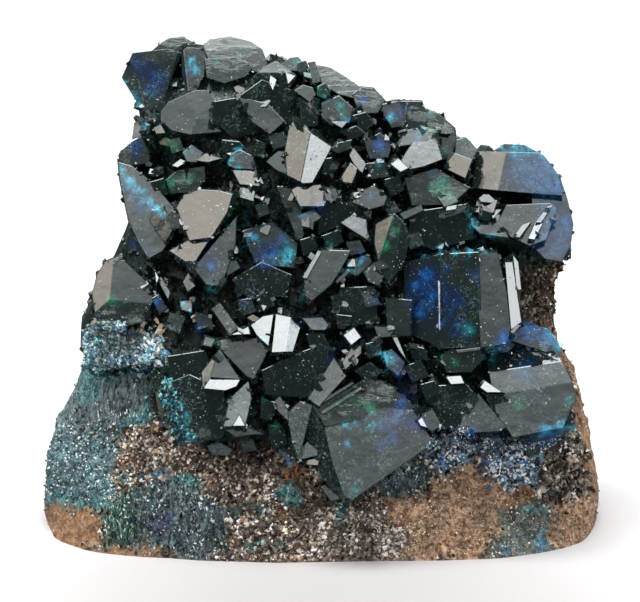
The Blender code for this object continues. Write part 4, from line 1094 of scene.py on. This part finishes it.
warped = waver(seen_at(points))
front = np.clip((normals @ np.array(OUT) + FRONT_FROM) / FRONT_SPAN, 0, 1)
deep = np.tile(paint(*PLAIN_DEEP), (len(points), 1))
pale = np.tile(paint(*PLAIN_PALE), (len(points), 1))
ribs, smooth = np.zeros(len(points)), np.zeros(len(points))
for name, ground in ZONES.items():
    share = inside_zone(warped, ground) * front
    deep += share[:, None] * (np.array(paint(*ground.deep)) - deep)
    pale += share[:, None] * (np.array(paint(*ground.pale)) - pale)
    ribs = ribs * (1 - share) + share * (ground.stretch > RIBBED)
    smooth = smooth * (1 - share) + share * (name in SMOOTH_ZONES)
shade = np.exp(0.45 * noise_at(points, CLOUDS, 13) + 0.60 * noise_at(points, BLOTCHES, 17))[:, None]
deep, pale = deep * shade, np.minimum(pale * shade, PALEST)
broad, crumb, grit = noise_at(points, BROAD), noise_at(points, CRUMB, 5), noise_at(points, GRIT, 7)
rib = noise_at(points * UPRIGHT, RIB, 11)
rubble = 0.42 * crumb * (1 - ribs) + 0.18 * grit
depth = 0.5 + 0.40 * broad + (1 - 0.7 * smooth) * rubble + 0.45 * rib * ribs
depth = np.clip(depth, 0, 1.3) * DEEPEST
foot = np.clip(points[:, 2] / FOOT, 0, 1)
moved = points - normals * (depth * foot)[:, None]
for vert, place in zip(shape.verts, moved):
    vert.co = place
rock_mesh = bpy.data.meshes.new("rock")
shape.to_mesh(rock_mesh)
shape.free()
for key, colour in (("deep", deep), ("pale", pale)):
    add_values(rock_mesh, key, np.hstack([colour, np.ones((len(colour), 1))]))
add_values(rock_mesh, "ribs", ribs)
rock_mesh.validate()
print(len(rock_mesh.polygons), "faces in the rock")

# %% [markdown]
# The rock's finish mixes the two painted colours by a noise, so that no patch is even. On the
# streaky crusts that noise runs in upright ribs. A finer noise darkens the pores.

# %% The rock's finish
rock_finish, nodes, surface = material("brown rock")
place = nodes.place()
plain = nodes.noise(place, 1500.0, 4.0, 0.7)
ribbed = nodes.noise(nodes.vector("MULTIPLY", place, (1.0, 1.0, 0.2)), 2200.0, 4.0, 0.7)
mottle = nodes.add("ShaderNodeMix", {0: nodes.attribute("ribs"), 2: plain, 3: ribbed}).outputs[0]
deep_tone, pale_tone = nodes.attribute("deep", "Color"), nodes.attribute("pale", "Color")
colour = nodes.mix(nodes.ramp(mottle, 0.36, 0.64), deep_tone, pale_tone)
pores = nodes.ramp(nodes.noise(place, 4200.0, 3.0, 0.7), 0.30, 0.48, 0.62, 1.0)
nodes.feed(surface, {"Base Color": nodes.dim(colour, pores), "Roughness": 0.82,
                     "Normal": nodes.bump(mottle, 0.7, 0.00022)})
piece(rock_mesh, rock_finish, "matrix")
print("finish:", rock_finish.name)


# %% [markdown]
# ## Grains and small crystals
# Most of the specimen's sparkle comes from thousands of grains too small to draw. Each is a copy of
# one of a few seeded chips, dropped where a ray from the eye meets the surface. Their colours come
# from the zone they fall in, and a random share of them is glassy.

# %% Helpers for scattering
def chip(corners, seed):
    """A random convex chip, about one unit across, as arrays of corners and faces."""
    luck = random.Random(seed)
    shape = bmesh.new()
    for _ in range(corners):
        way = Vector([luck.gauss(0, 1) for _ in range(3)]).normalized()
        shape.verts.new(way * luck.uniform(0.42, 0.58))
    hull(shape)
    bmesh.ops.recalc_face_normals(shape, faces=shape.faces)
    return as_arrays(shape)


def as_arrays(shape):
    shape.verts.index_update()
    corners = np.array([vert.co for vert in shape.verts])
    faces = [[vert.index for vert in face.verts] for face in shape.faces]
    shape.free()
    return corners, faces


def small_block(seed):
    """A small flat-topped crystal about one unit across, standing on the origin."""
    luck = random.Random(seed)
    corners = luck.choice((4, 4, 5, 6))
    long = luck.uniform(1.0, 1.9)
    turns = [2 * math.pi * (step + luck.uniform(-0.22, 0.22)) / corners for step in range(corners)]
    ring = [Vector((0.5 * long * math.cos(turn), 0.5 * math.sin(turn))) for turn in turns]
    normal = face_direction(luck.uniform(0, 360), luck.uniform(4, 34))
    height = luck.uniform(0.25, 0.8)
    shape = block(ring, normal, height, height + 0.6, 0.05)
    if luck.random() < 0.5:
        cut_away(shape, Vector((0, 0, height)), face_direction(luck.uniform(0, 360), luck.uniform(30, 60)))
    tidy_up(shape, 0.02, 1.0)
    return as_arrays(shape)


CHIPS = [chip(7, seed) for seed in range(24)]
BLOCKS = [small_block(seed) for seed in range(40)]


def tree_of(*meshes):
    """A search tree over several meshes, for rays."""
    corners, faces = [], []
    for mesh in meshes:
        first = len(corners)
        corners += [vert.co.copy() for vert in mesh.vertices]
        faces += [[first + corner for corner in face.vertices] for face in mesh.polygons]
    return BVHTree.FromPolygons(corners, faces)


def drop(x, y):
    """Where the line of sight through a place on the sheet first meets the specimen."""
    through = FACE_AXES @ Vector((*sheet_point(x, y), 0.0))
    way = (through - EYE).normalized()
    place, normal, _, _ = whole_tree.ray_cast(EYE, way)
    if place is not None and normal.dot(way) > 0:
        normal = -normal
    return place, normal


def stand(corners, place, axis, turn, size):
    """Turn, size and place a template's corners."""
    axes = axis.to_track_quat("Z", "Y").to_matrix() @ Matrix.Rotation(turn, 3, "Z")
    return corners * size @ np.array(axes).T + np.array(place)


CLEAR, TOUCH = 0.02 * MM, 0.01 * MM
LOW, HIGH = np.array(cad_box[0]) + CLEAR, np.array(cad_box[1]) - CLEAR


def fits(corners):
    """Whether corners stay within the solids' box."""
    return (corners > LOW).all() and (corners < HIGH).all()


def is_on(tree, place):
    return tree.find_nearest(place)[3] <= TOUCH


rock_tree = tree_of(rock_mesh)
crust_tree = tree_of(crust_mesh)
whole_tree = tree_of(crystal_mesh, crust_mesh, rock_mesh)
print(len(CHIPS), "chips and", len(BLOCKS), "blocks")

# %% [markdown]
# The rock's grains first. Long grains, in the streaky crusts, stand upright. A few grains are half
# as large again, and a few are painted brighter, as painted glints. The borders between zones are
# loosened by letting grains stray.

# %% Grains on the rock
GLASSY, GLASSY_ROUGH, DULL_ROUGH = 0.35, 0.12, 0.65
LARGE, LARGER = 0.12, 1.5
PAINTED_GLINTS, PAINTED_GLINT_GAIN = 0.05, 1.6
STRAY = 3.5
GRAIN_PLACES = ((19000, 34, 606, 410, 566), (3000, 512, 604, 250, 440), (1800, 44, 170, 330, 440))
luck = random.Random(11)


class Grains(Heap):
    """A heap whose shapes have one colour each."""

    def mesh(self, name):
        mesh = new_mesh(name, self.corners, self.faces)
        add_values(mesh, "tint", self.own)
        mesh.validate()
        return mesh


def add_grain(heap, kind, place, normal, scale=1.0):
    """One grain of a zone, half sunk into the surface."""
    size = luck.uniform(*kind.size) * MM * scale * (LARGER if luck.random() < LARGE else 1.0)
    corners, faces = luck.choice(CHIPS)
    axis = (normal + Vector([luck.gauss(0, 0.6) for _ in range(3)])).normalized()
    if kind.stretch > RIBBED:
        axis = (Vector((luck.gauss(0, 0.25), luck.gauss(0, 0.3), 1)) + 0.3 * normal).normalized()
    stretch = np.array((1, 1, kind.stretch * luck.uniform(0.6, 1.1)))
    shape = stand(corners * stretch, place + normal * size * 0.12, axis, luck.uniform(0, 6.3), size)
    if not fits(shape):
        return
    tone = luck.choice(kind.grains)
    patch = noise.noise(place / (2.6 * MM)) + 0.7 * noise.noise(place / (9.0 * MM))
    # The tone of each grain varies at random; a few grains are painted brighter still, as painted glints.
    glow = luck.uniform(0.80, 1.28) * math.exp(0.55 * patch) * (PAINTED_GLINT_GAIN if luck.random() < PAINTED_GLINTS else 1.0)
    colour = paint(*(min(255, part * glow) for part in tone))
    roughness = GLASSY_ROUGH if luck.random() < GLASSY else DULL_ROUGH
    heap.add(shape.tolist(), faces, (*colour, roughness))


def zones_of(places):
    """The number of the last zone painted at each place, with wavering borders."""
    found = np.zeros(len(places), int)
    wavered = waver(places) + [(luck.gauss(0, STRAY), luck.gauss(0, STRAY)) for _ in places]
    for number, ground in enumerate(ZONES.values()):
        share = inside_zone(wavered, ground)
        found[share > np.array([luck.random() for _ in places])] = number
    return found


def scatter(count, left, right, top, bottom):
    """Random places on the sheet within a rectangle."""
    return [(luck.uniform(left, right), luck.uniform(top, bottom)) for _ in range(count)]


grains = Grains()
spots = np.array([spot for area in GRAIN_PLACES for spot in scatter(*area)])
kinds = list(ZONES.values())
for (x, y), number in zip(spots, zones_of(spots)):
    kind = kinds[number]
    place, normal = drop(x, y)
    if place is not None and is_on(rock_tree, place) and luck.random() < kind.cover / FULL_COVER:
        add_grain(grains, kind, place, normal)
print(len(grains.faces), "faces in the grains of the front")

# %% The grains' finish
GRAIN_INDEX = 1.55
grain_finish, nodes, surface = material("grains")
cloud = nodes.ramp(nodes.noise(nodes.place(), 3000.0, 3.0, 0.6), 0.3, 0.7, 0.7, 1.15)
nodes.feed(surface, {"Base Color": nodes.dim(nodes.attribute("tint", "Color"), cloud),
                     "Roughness": nodes.attribute("tint", "Alpha"), "IOR": GRAIN_INDEX})
grain_mesh = grains.mesh("rock_grains")
piece(grain_mesh, grain_finish, "matrix")
print("finish:", grain_finish.name)

# %% [markdown]
# Then the small crystals of lazulite. In front they fill the gaps and the crust: they stand where
# the surface is steep, and only very few on flat faces. Tiny glinting chips go there too, some with
# a colour of their own, and on the dark faces that sparkle all over. The crystals keep clear of the
# faces that mirror a light, whose clean shine matters most.

# %% Small crystals and glints
CRUST_OUTLINE = """
    104,70 160,37 270,48 350,80 440,110 486,150 562,160 572,256 552,330 572,400 560,430 500,440 400,460
    352,494 322,470 262,440 186,438 160,425 150,380 84,366 84,320 100,262 130,230 120,150"""
SPARKLING = """
    280,104,22 296,118,14 458,300,26 428,310,22 450,402,22 430,380,14 302,372,24 280,385,14 438,228,20
    434,190,22 355,306,20 345,290,14 520,354,26 545,350,16 200,411,24 190,395,14 192,371,14 200,310,34
    180,290,18 264,282,20 300,230,16 330,215,16 230,125,12 240,140,18 330,155,18 310,300,14 385,300,14
    150,70,18 165,95,14 395,370,20 410,400,14 350,395,18 200,150,30 230,190,12 250,205,16 180,175,20
    330,330,20 420,345,14 340,130,18 360,120,12 445,160,14 360,180,18 390,220,12 128,250,12 470,350,14"""
MIRRORS = """
    350,335,10 396,345,9 455,378,10 486,384,10 504,262,7 505,276,7 507,290,7 508,304,7 510,318,7
    310,150,16 322,160,10 275,330,18 292,322,10 222,384,10 238,402,8 240,416,7 543,215,8 534,225,8
    402,165,9 425,150,14 480,285,12 480,310,12 310,185,8 203,215,20 205,250,12 463,160,12 490,165,12"""
STEEP = 0.74
SPARKLE_STRENGTH = 0.8
CLUSTER_AREA = (84, 590, 40, 490)
BLOCK_PLACES, GLINT_PLACES = 9000, 16000
LEAST_BLOCK, MORE_BLOCK, FEW_LARGE = 0.25, 0.95, 2.3  # most are near the least size, in millimetres
FLAT_BLOCKS, FLAT_SIZE = 0.003, 0.6
FLAT_GLINTS, SPARKLE_GLINTS, STEEP_GLINTS = 0.03, 0.75, 0.9
GLINT_SIZE = (0.10, 0.36)
GLINT_COLOURS = (BASE_VEIL, (26, 88, 104), (36, 96, 84), (128, 150, 146))
GLINT_SHARES = (0.66, 0.16, 0.10, 0.08)
luck = random.Random(31)
small, glints = Heap(), Heap()


def add_small(heap, templates, place, normal, size, lean, share, colour=BASE_VEIL):
    """Set a small crystal or a chip, of a size in millimetres, into the surface."""
    size *= MM
    corners, faces = luck.choice(templates)
    axis = (normal + OUT * lean + Vector([luck.gauss(0, 0.55) for _ in range(3)])).normalized()
    shape = stand(corners, place - axis * size * 0.25, axis, luck.uniform(0, 6.3), size)
    if fits(shape):
        heap.add(shape.tolist(), faces, (*paint(*colour), share))


def sparkle_at(places):
    """How much places on the sheet sparkle, 0 to 1."""
    clear = np.ones(len(places))
    for near in spots_near(places, SPARKLING):
        clear *= 1 - SPARKLE_STRENGTH * near
    return 1 - clear


def off_mirrors(places):
    """Those of the places on the sheet that keep clear of the faces that mirror a light."""
    free = np.ones(len(places), bool)
    for spot in MIRRORS.split():
        x, y, radius = numbers(spot)
        free &= np.linalg.norm(places - (x, y), axis=1) > radius
    return places[free]


def cluster_hits(spots):
    """Where places on the sheet meet the cluster, how far in, how much it sparkles, and if it is flat."""
    inner, sparkle = zone_share(spots, CRUST_OUTLINE, 40.0), sparkle_at(spots)
    for (x, y), share, spark in zip(spots, inner, sparkle):
        if share < 0.5:
            continue
        place, normal = drop(x, y)
        if place is not None and not is_on(rock_tree, place):
            flat = normal.dot(OUT) > STEEP and not is_on(crust_tree, place)
            yield place, normal, share, spark, flat


spots = off_mirrors(np.array(scatter(BLOCK_PLACES, *CLUSTER_AREA)))
for place, normal, share, spark, flat in cluster_hits(spots):
    if luck.random() < (FLAT_BLOCKS if flat else 1.0):
        size = LEAST_BLOCK + MORE_BLOCK * luck.random() ** FEW_LARGE * (2 * share - 1)
        size *= FLAT_SIZE if flat else 1.0
        add_small(small, BLOCKS, place, normal, size, 0.2, luck.uniform(0.1, 0.5))
for place, normal, share, spark, flat in cluster_hits(np.array(scatter(GLINT_PLACES, *CLUSTER_AREA))):
    if luck.random() < (FLAT_GLINTS + SPARKLE_GLINTS * spark if flat else STEEP_GLINTS):
        colour = luck.choices(GLINT_COLOURS, GLINT_SHARES)[0]
        share = luck.uniform(0.0, 0.8) if colour == BASE_VEIL else 1.0
        add_small(glints, CHIPS, place, normal, luck.uniform(*GLINT_SIZE), 0.3, share, colour)
print(len(small.faces), "faces in the small crystals,", len(glints.faces), "in the glints")

# %% [markdown]
# Round the sides and over the top, small crystals cover the crust evenly, where it stands clear of
# the rock.

# %% Small crystals round the sides
SIDE_CRYSTALS, SIDE_CLEAR, SIDE_MORE = 1800, 0.9 * MM, 0.6
SIDEWAYS = 0.35
sides = [face for face in crust_mesh.polygons if face.normal.dot(OUT) < SIDEWAYS]
for face in luck.choices(sides, [face.area for face in sides], k=SIDE_CRYSTALS):
    if rock_tree.find_nearest(face.center)[3] > SIDE_CLEAR:
        size = LEAST_BLOCK + SIDE_MORE * luck.random() ** 2
        add_small(small, BLOCKS, face.center, face.normal, size, 0.2, 0.3)
small_mesh, glint_mesh = small.mesh("small_crystals"), glints.mesh("glints")
piece(small_mesh, small_finish, "lazulite_cluster")
piece(glint_mesh, small_finish, "lazulite_cluster")
print(len(small_mesh.polygons), "faces in the small crystals in all")

# %% [markdown]
# On the left a silvery crust with blue and green in it hides the crystals, and a few cream lumps
# sit above it. More of it lies along the crystals' foot. All of it uses the rock's grain finish.

# %% Silver crust and cream lumps
CRUSTED = {
    "silver crust": zone((0.22, 0.62), 1.9, """
        140,166,170 96,134,146 52,100,142 116,144,140 206,216,214 70,130,152 76,108,100 84,98,100
        130,166,176 44,70,88 160,174,170 36,52,62 214,212,200""", """
        84,330 100,322 132,326 168,338 166,364 120,370 84,368"""),
    "teal edge": zone((0.20, 0.56), 1.6, """
        24,70,86 56,116,128 16,44,60 112,140,138 24,66,54 16,26,36""", """
        158,380 172,380 178,404 196,436 186,444 170,424 / 74,362 160,362 156,374 74,376"""),
    "silver foot": zone((0.14, 0.36), 1.6, """
        150,168,176 40,62,84 210,216,216 28,40,60 70,110,140""", """
        424,436 452,426 484,432 500,438 520,440 540,438 556,436 560,446 500,452 430,452"""),
}
CRUSTED_PER_AREA, CRUSTED_BORDER = 0.9, 4.0
CREAM = zone((1.0, 1.0), 1.1, "206,192,168 184,168,142 222,212,192")
CREAM_LUMPS = """
    136,330,1.0 143,325,1.1 142,333,0.8 155,326,1.1 163,329,1.2 160,335,0.9 156,341,1.1 150,334,0.7
    195,318,0.7"""
LUMP_GRAINS, LUMP_SPREAD, LUMP_SIZE = 5, 0.30, 0.92
crusted = Grains()
for kind in CRUSTED.values():
    for outline in kind.outlines:
        x, y = zip(*(numbers(spot) for spot in outline.split()))
        count = int((max(x) - min(x)) * (max(y) - min(y)) * CRUSTED_PER_AREA)
        spots = np.array(scatter(count, min(x), max(x), min(y), max(y)))
        for spot, share in zip(spots, zone_share(waver(spots), outline, CRUSTED_BORDER)):
            place, normal = drop(*spot)
            if share > 0.5 and place is not None:
                add_grain(crusted, kind, place, normal)
for lump in CREAM_LUMPS.split():
    x, y, size = numbers(lump)
    place, normal = drop(x, y)
    for _ in range(LUMP_GRAINS):
        shift = Vector([luck.gauss(0, LUMP_SPREAD * size * MM) for _ in range(3)])
        add_grain(crusted, CREAM, place + shift, normal, size * LUMP_SIZE)
crusted_mesh = crusted.mesh("crusted_grains")
piece(crusted_mesh, grain_finish, "lazulite_cluster")
print(len(crusted_mesh.polygons), "faces in the silver crust")


# %% [markdown]
# ## Floor, light and camera
# A pale floor, painted darker in front of the specimen as a painted shadow, and soft light, as for a
# catalogue. Dark glassy crystals show only what they mirror, so the room matters more than the lamps:
# it is dim in front, brighter the higher a face looks, warm towards the upper left and cool towards
# the right. Two soft panels light the rock.

# %% Floor
REACH = 3.0
PAPER_SHADOW, PAPER_FAR = (0.50, 0.475, 0.47, 1.0), (0.86, 0.855, 0.85, 1.0)
SHADOW_MIDDLE, SHADOW_HALF = (0.0, -40 * MM, 0.0), (90 * MM, 70 * MM, 1.0)
corners = [(-REACH, -REACH, 0), (REACH, -REACH, 0), (REACH, REACH, 0), (-REACH, REACH, 0)]
floor = put_in_scene("floor", new_mesh("floor", corners, [(0, 1, 2, 3)]))
paper, nodes, surface = material("paper with painted shadow")
# The paper is painted darker in a soft ellipse in front of the specimen: a painted shadow.
spread = nodes.vector("DIVIDE", nodes.vector("SUBTRACT", nodes.place(), SHADOW_MIDDLE), SHADOW_HALF)
away = nodes.vector("LENGTH", spread, output="Value")
nodes.feed(surface, {"Base Color": nodes.mix(nodes.ramp(away, 0.0, 1.0), PAPER_SHADOW, PAPER_FAR),
                     "Roughness": 0.85, "Specular IOR Level": 0.2})
floor.data.materials.append(paper)
floor.visible_glossy = False
print("the floor is", 2 * REACH, "m wide")

# %% Camera
SENSOR = 36.0
FRAME_WIDTH = 640.0
camera_data = bpy.data.cameras.new("camera")
camera_data.sensor_width = SENSOR
camera_data.lens = SENSOR * VIEW_DISTANCE / (FRAME_WIDTH * STEP)
camera_data.clip_start, camera_data.clip_end = 0.01, 20.0
camera = put_in_scene("camera", camera_data)
camera.location = EYE
camera.rotation_euler = OUT.to_track_quat("Z", "Y").to_euler()
bpy.context.scene.camera = camera
print(f"lens {camera_data.lens:.0f} mm")

# %% Soft panels
bpy.context.scene.view_settings.view_transform = "Standard"


def from_face(clock, tilt):
    """The way to something in the room, as seen from the face: a clock angle and a tilt."""
    return (FACE_AXES.to_3x3() @ face_direction(clock, tilt)).normalized()


def panel(name, clock, tilt, distance, size, power, colour):
    """A soft panel that lights the rock and the paper, and that the crystals don't mirror."""
    light = bpy.data.lights.new(name, "AREA")
    light.shape = "RECTANGLE"
    light.size, light.size_y = size
    light.energy = power
    light.color = colour
    made = put_in_scene(name, light)
    way = from_face(clock, tilt)
    made.location = EYE - OUT * VIEW_DISTANCE + way * distance
    made.rotation_euler = way.to_track_quat("Z", "Y").to_euler()
    made.visible_glossy = False


panel("overhead panel", 92, 62, 0.8, (0.60, 0.40), 7.5, (0.98, 0.99, 1.0))
panel("left panel", 150, 50, 0.9, (0.60, 0.60), 2.6, (1.0, 0.96, 0.92))
print("lights:", [light.name for light in bpy.data.lights])

# %% [markdown]
# The room is a world shader. What the paper and rock receive is an even white. What the crystals
# mirror is a gradient by height with three glows in it, since a flat white room would turn every
# face the same grey.

# %% The room
TOP_GLOW = 17.0
GLOW_HEIGHTS = [(0.0, 0.05), (0.38, 0.15), (0.50, 0.9), (0.60, 1.8), (0.70, 2.7), (0.80, 4.4), (0.88, 8.0),
                (1.0, TOP_GLOW)]
COOL = (TOP_GLOW * 0.94, TOP_GLOW * 0.97, TOP_GLOW, 1.0)
GLOWS = [(138, 44, 21, 3.6, (1.0, 0.84, 0.64)), (60, 60, 22, 3.0, (0.86, 0.94, 1.0)),
         (12, 54, 14, 11.0, (0.95, 0.97, 1.0))]
EVEN_LIGHT, BACKDROP = (0.50, 0.50, 0.51, 1.0), (0.985, 0.985, 0.985, 1.0)
world = bpy.data.worlds.new("studio")
bpy.context.scene.world = world
world.use_nodes = True
nodes = Nodes(world.node_tree)
rays = nodes.add("ShaderNodeLightPath").outputs
way = nodes.add("ShaderNodeTexCoord").outputs["Generated"]
heights = nodes.add("ShaderNodeValToRGB", {0: nodes.add("ShaderNodeSeparateXYZ", {0: way}).outputs["Z"]})
heights.color_ramp.interpolation = "B_SPLINE"
marks = heights.color_ramp.elements
while len(marks) < len(GLOW_HEIGHTS):
    marks.new(0.5)
for mark, (height, strength) in zip(marks, GLOW_HEIGHTS):
    mark.position = height
    mark.color = (strength / TOP_GLOW,) * 3 + (1.0,)


def glow(clock, tilt, spread, strength, colour):
    """A soft glow in the room, mirrored by faces that tilt half as far."""
    near = nodes.vector("DOT_PRODUCT", way, from_face(clock, tilt), output="Value")
    share = nodes.ramp(near, math.cos(math.radians(spread)), math.cos(math.radians(spread * 0.45)))
    return nodes.mix(share, (0, 0, 0, 1), tuple(strength * part for part in colour) + (1.0,))


mirrored = nodes.mix(1.0, heights.outputs[0], COOL, "MULTIPLY")
for setting in GLOWS:
    mirrored = nodes.mix(1.0, mirrored, glow(*setting), "ADD")
plain = nodes.mix(rays["Is Camera Ray"], EVEN_LIGHT, BACKDROP)
light = nodes.mix(rays["Is Glossy Ray"], plain, mirrored)
nodes.feed(world.node_tree.nodes["Background"].inputs, {"Color": light})
print(len(GLOWS), "glows in the room")


# %% [markdown]
# ## Finish
# The dressed specimen has to stay inside the solids' box.
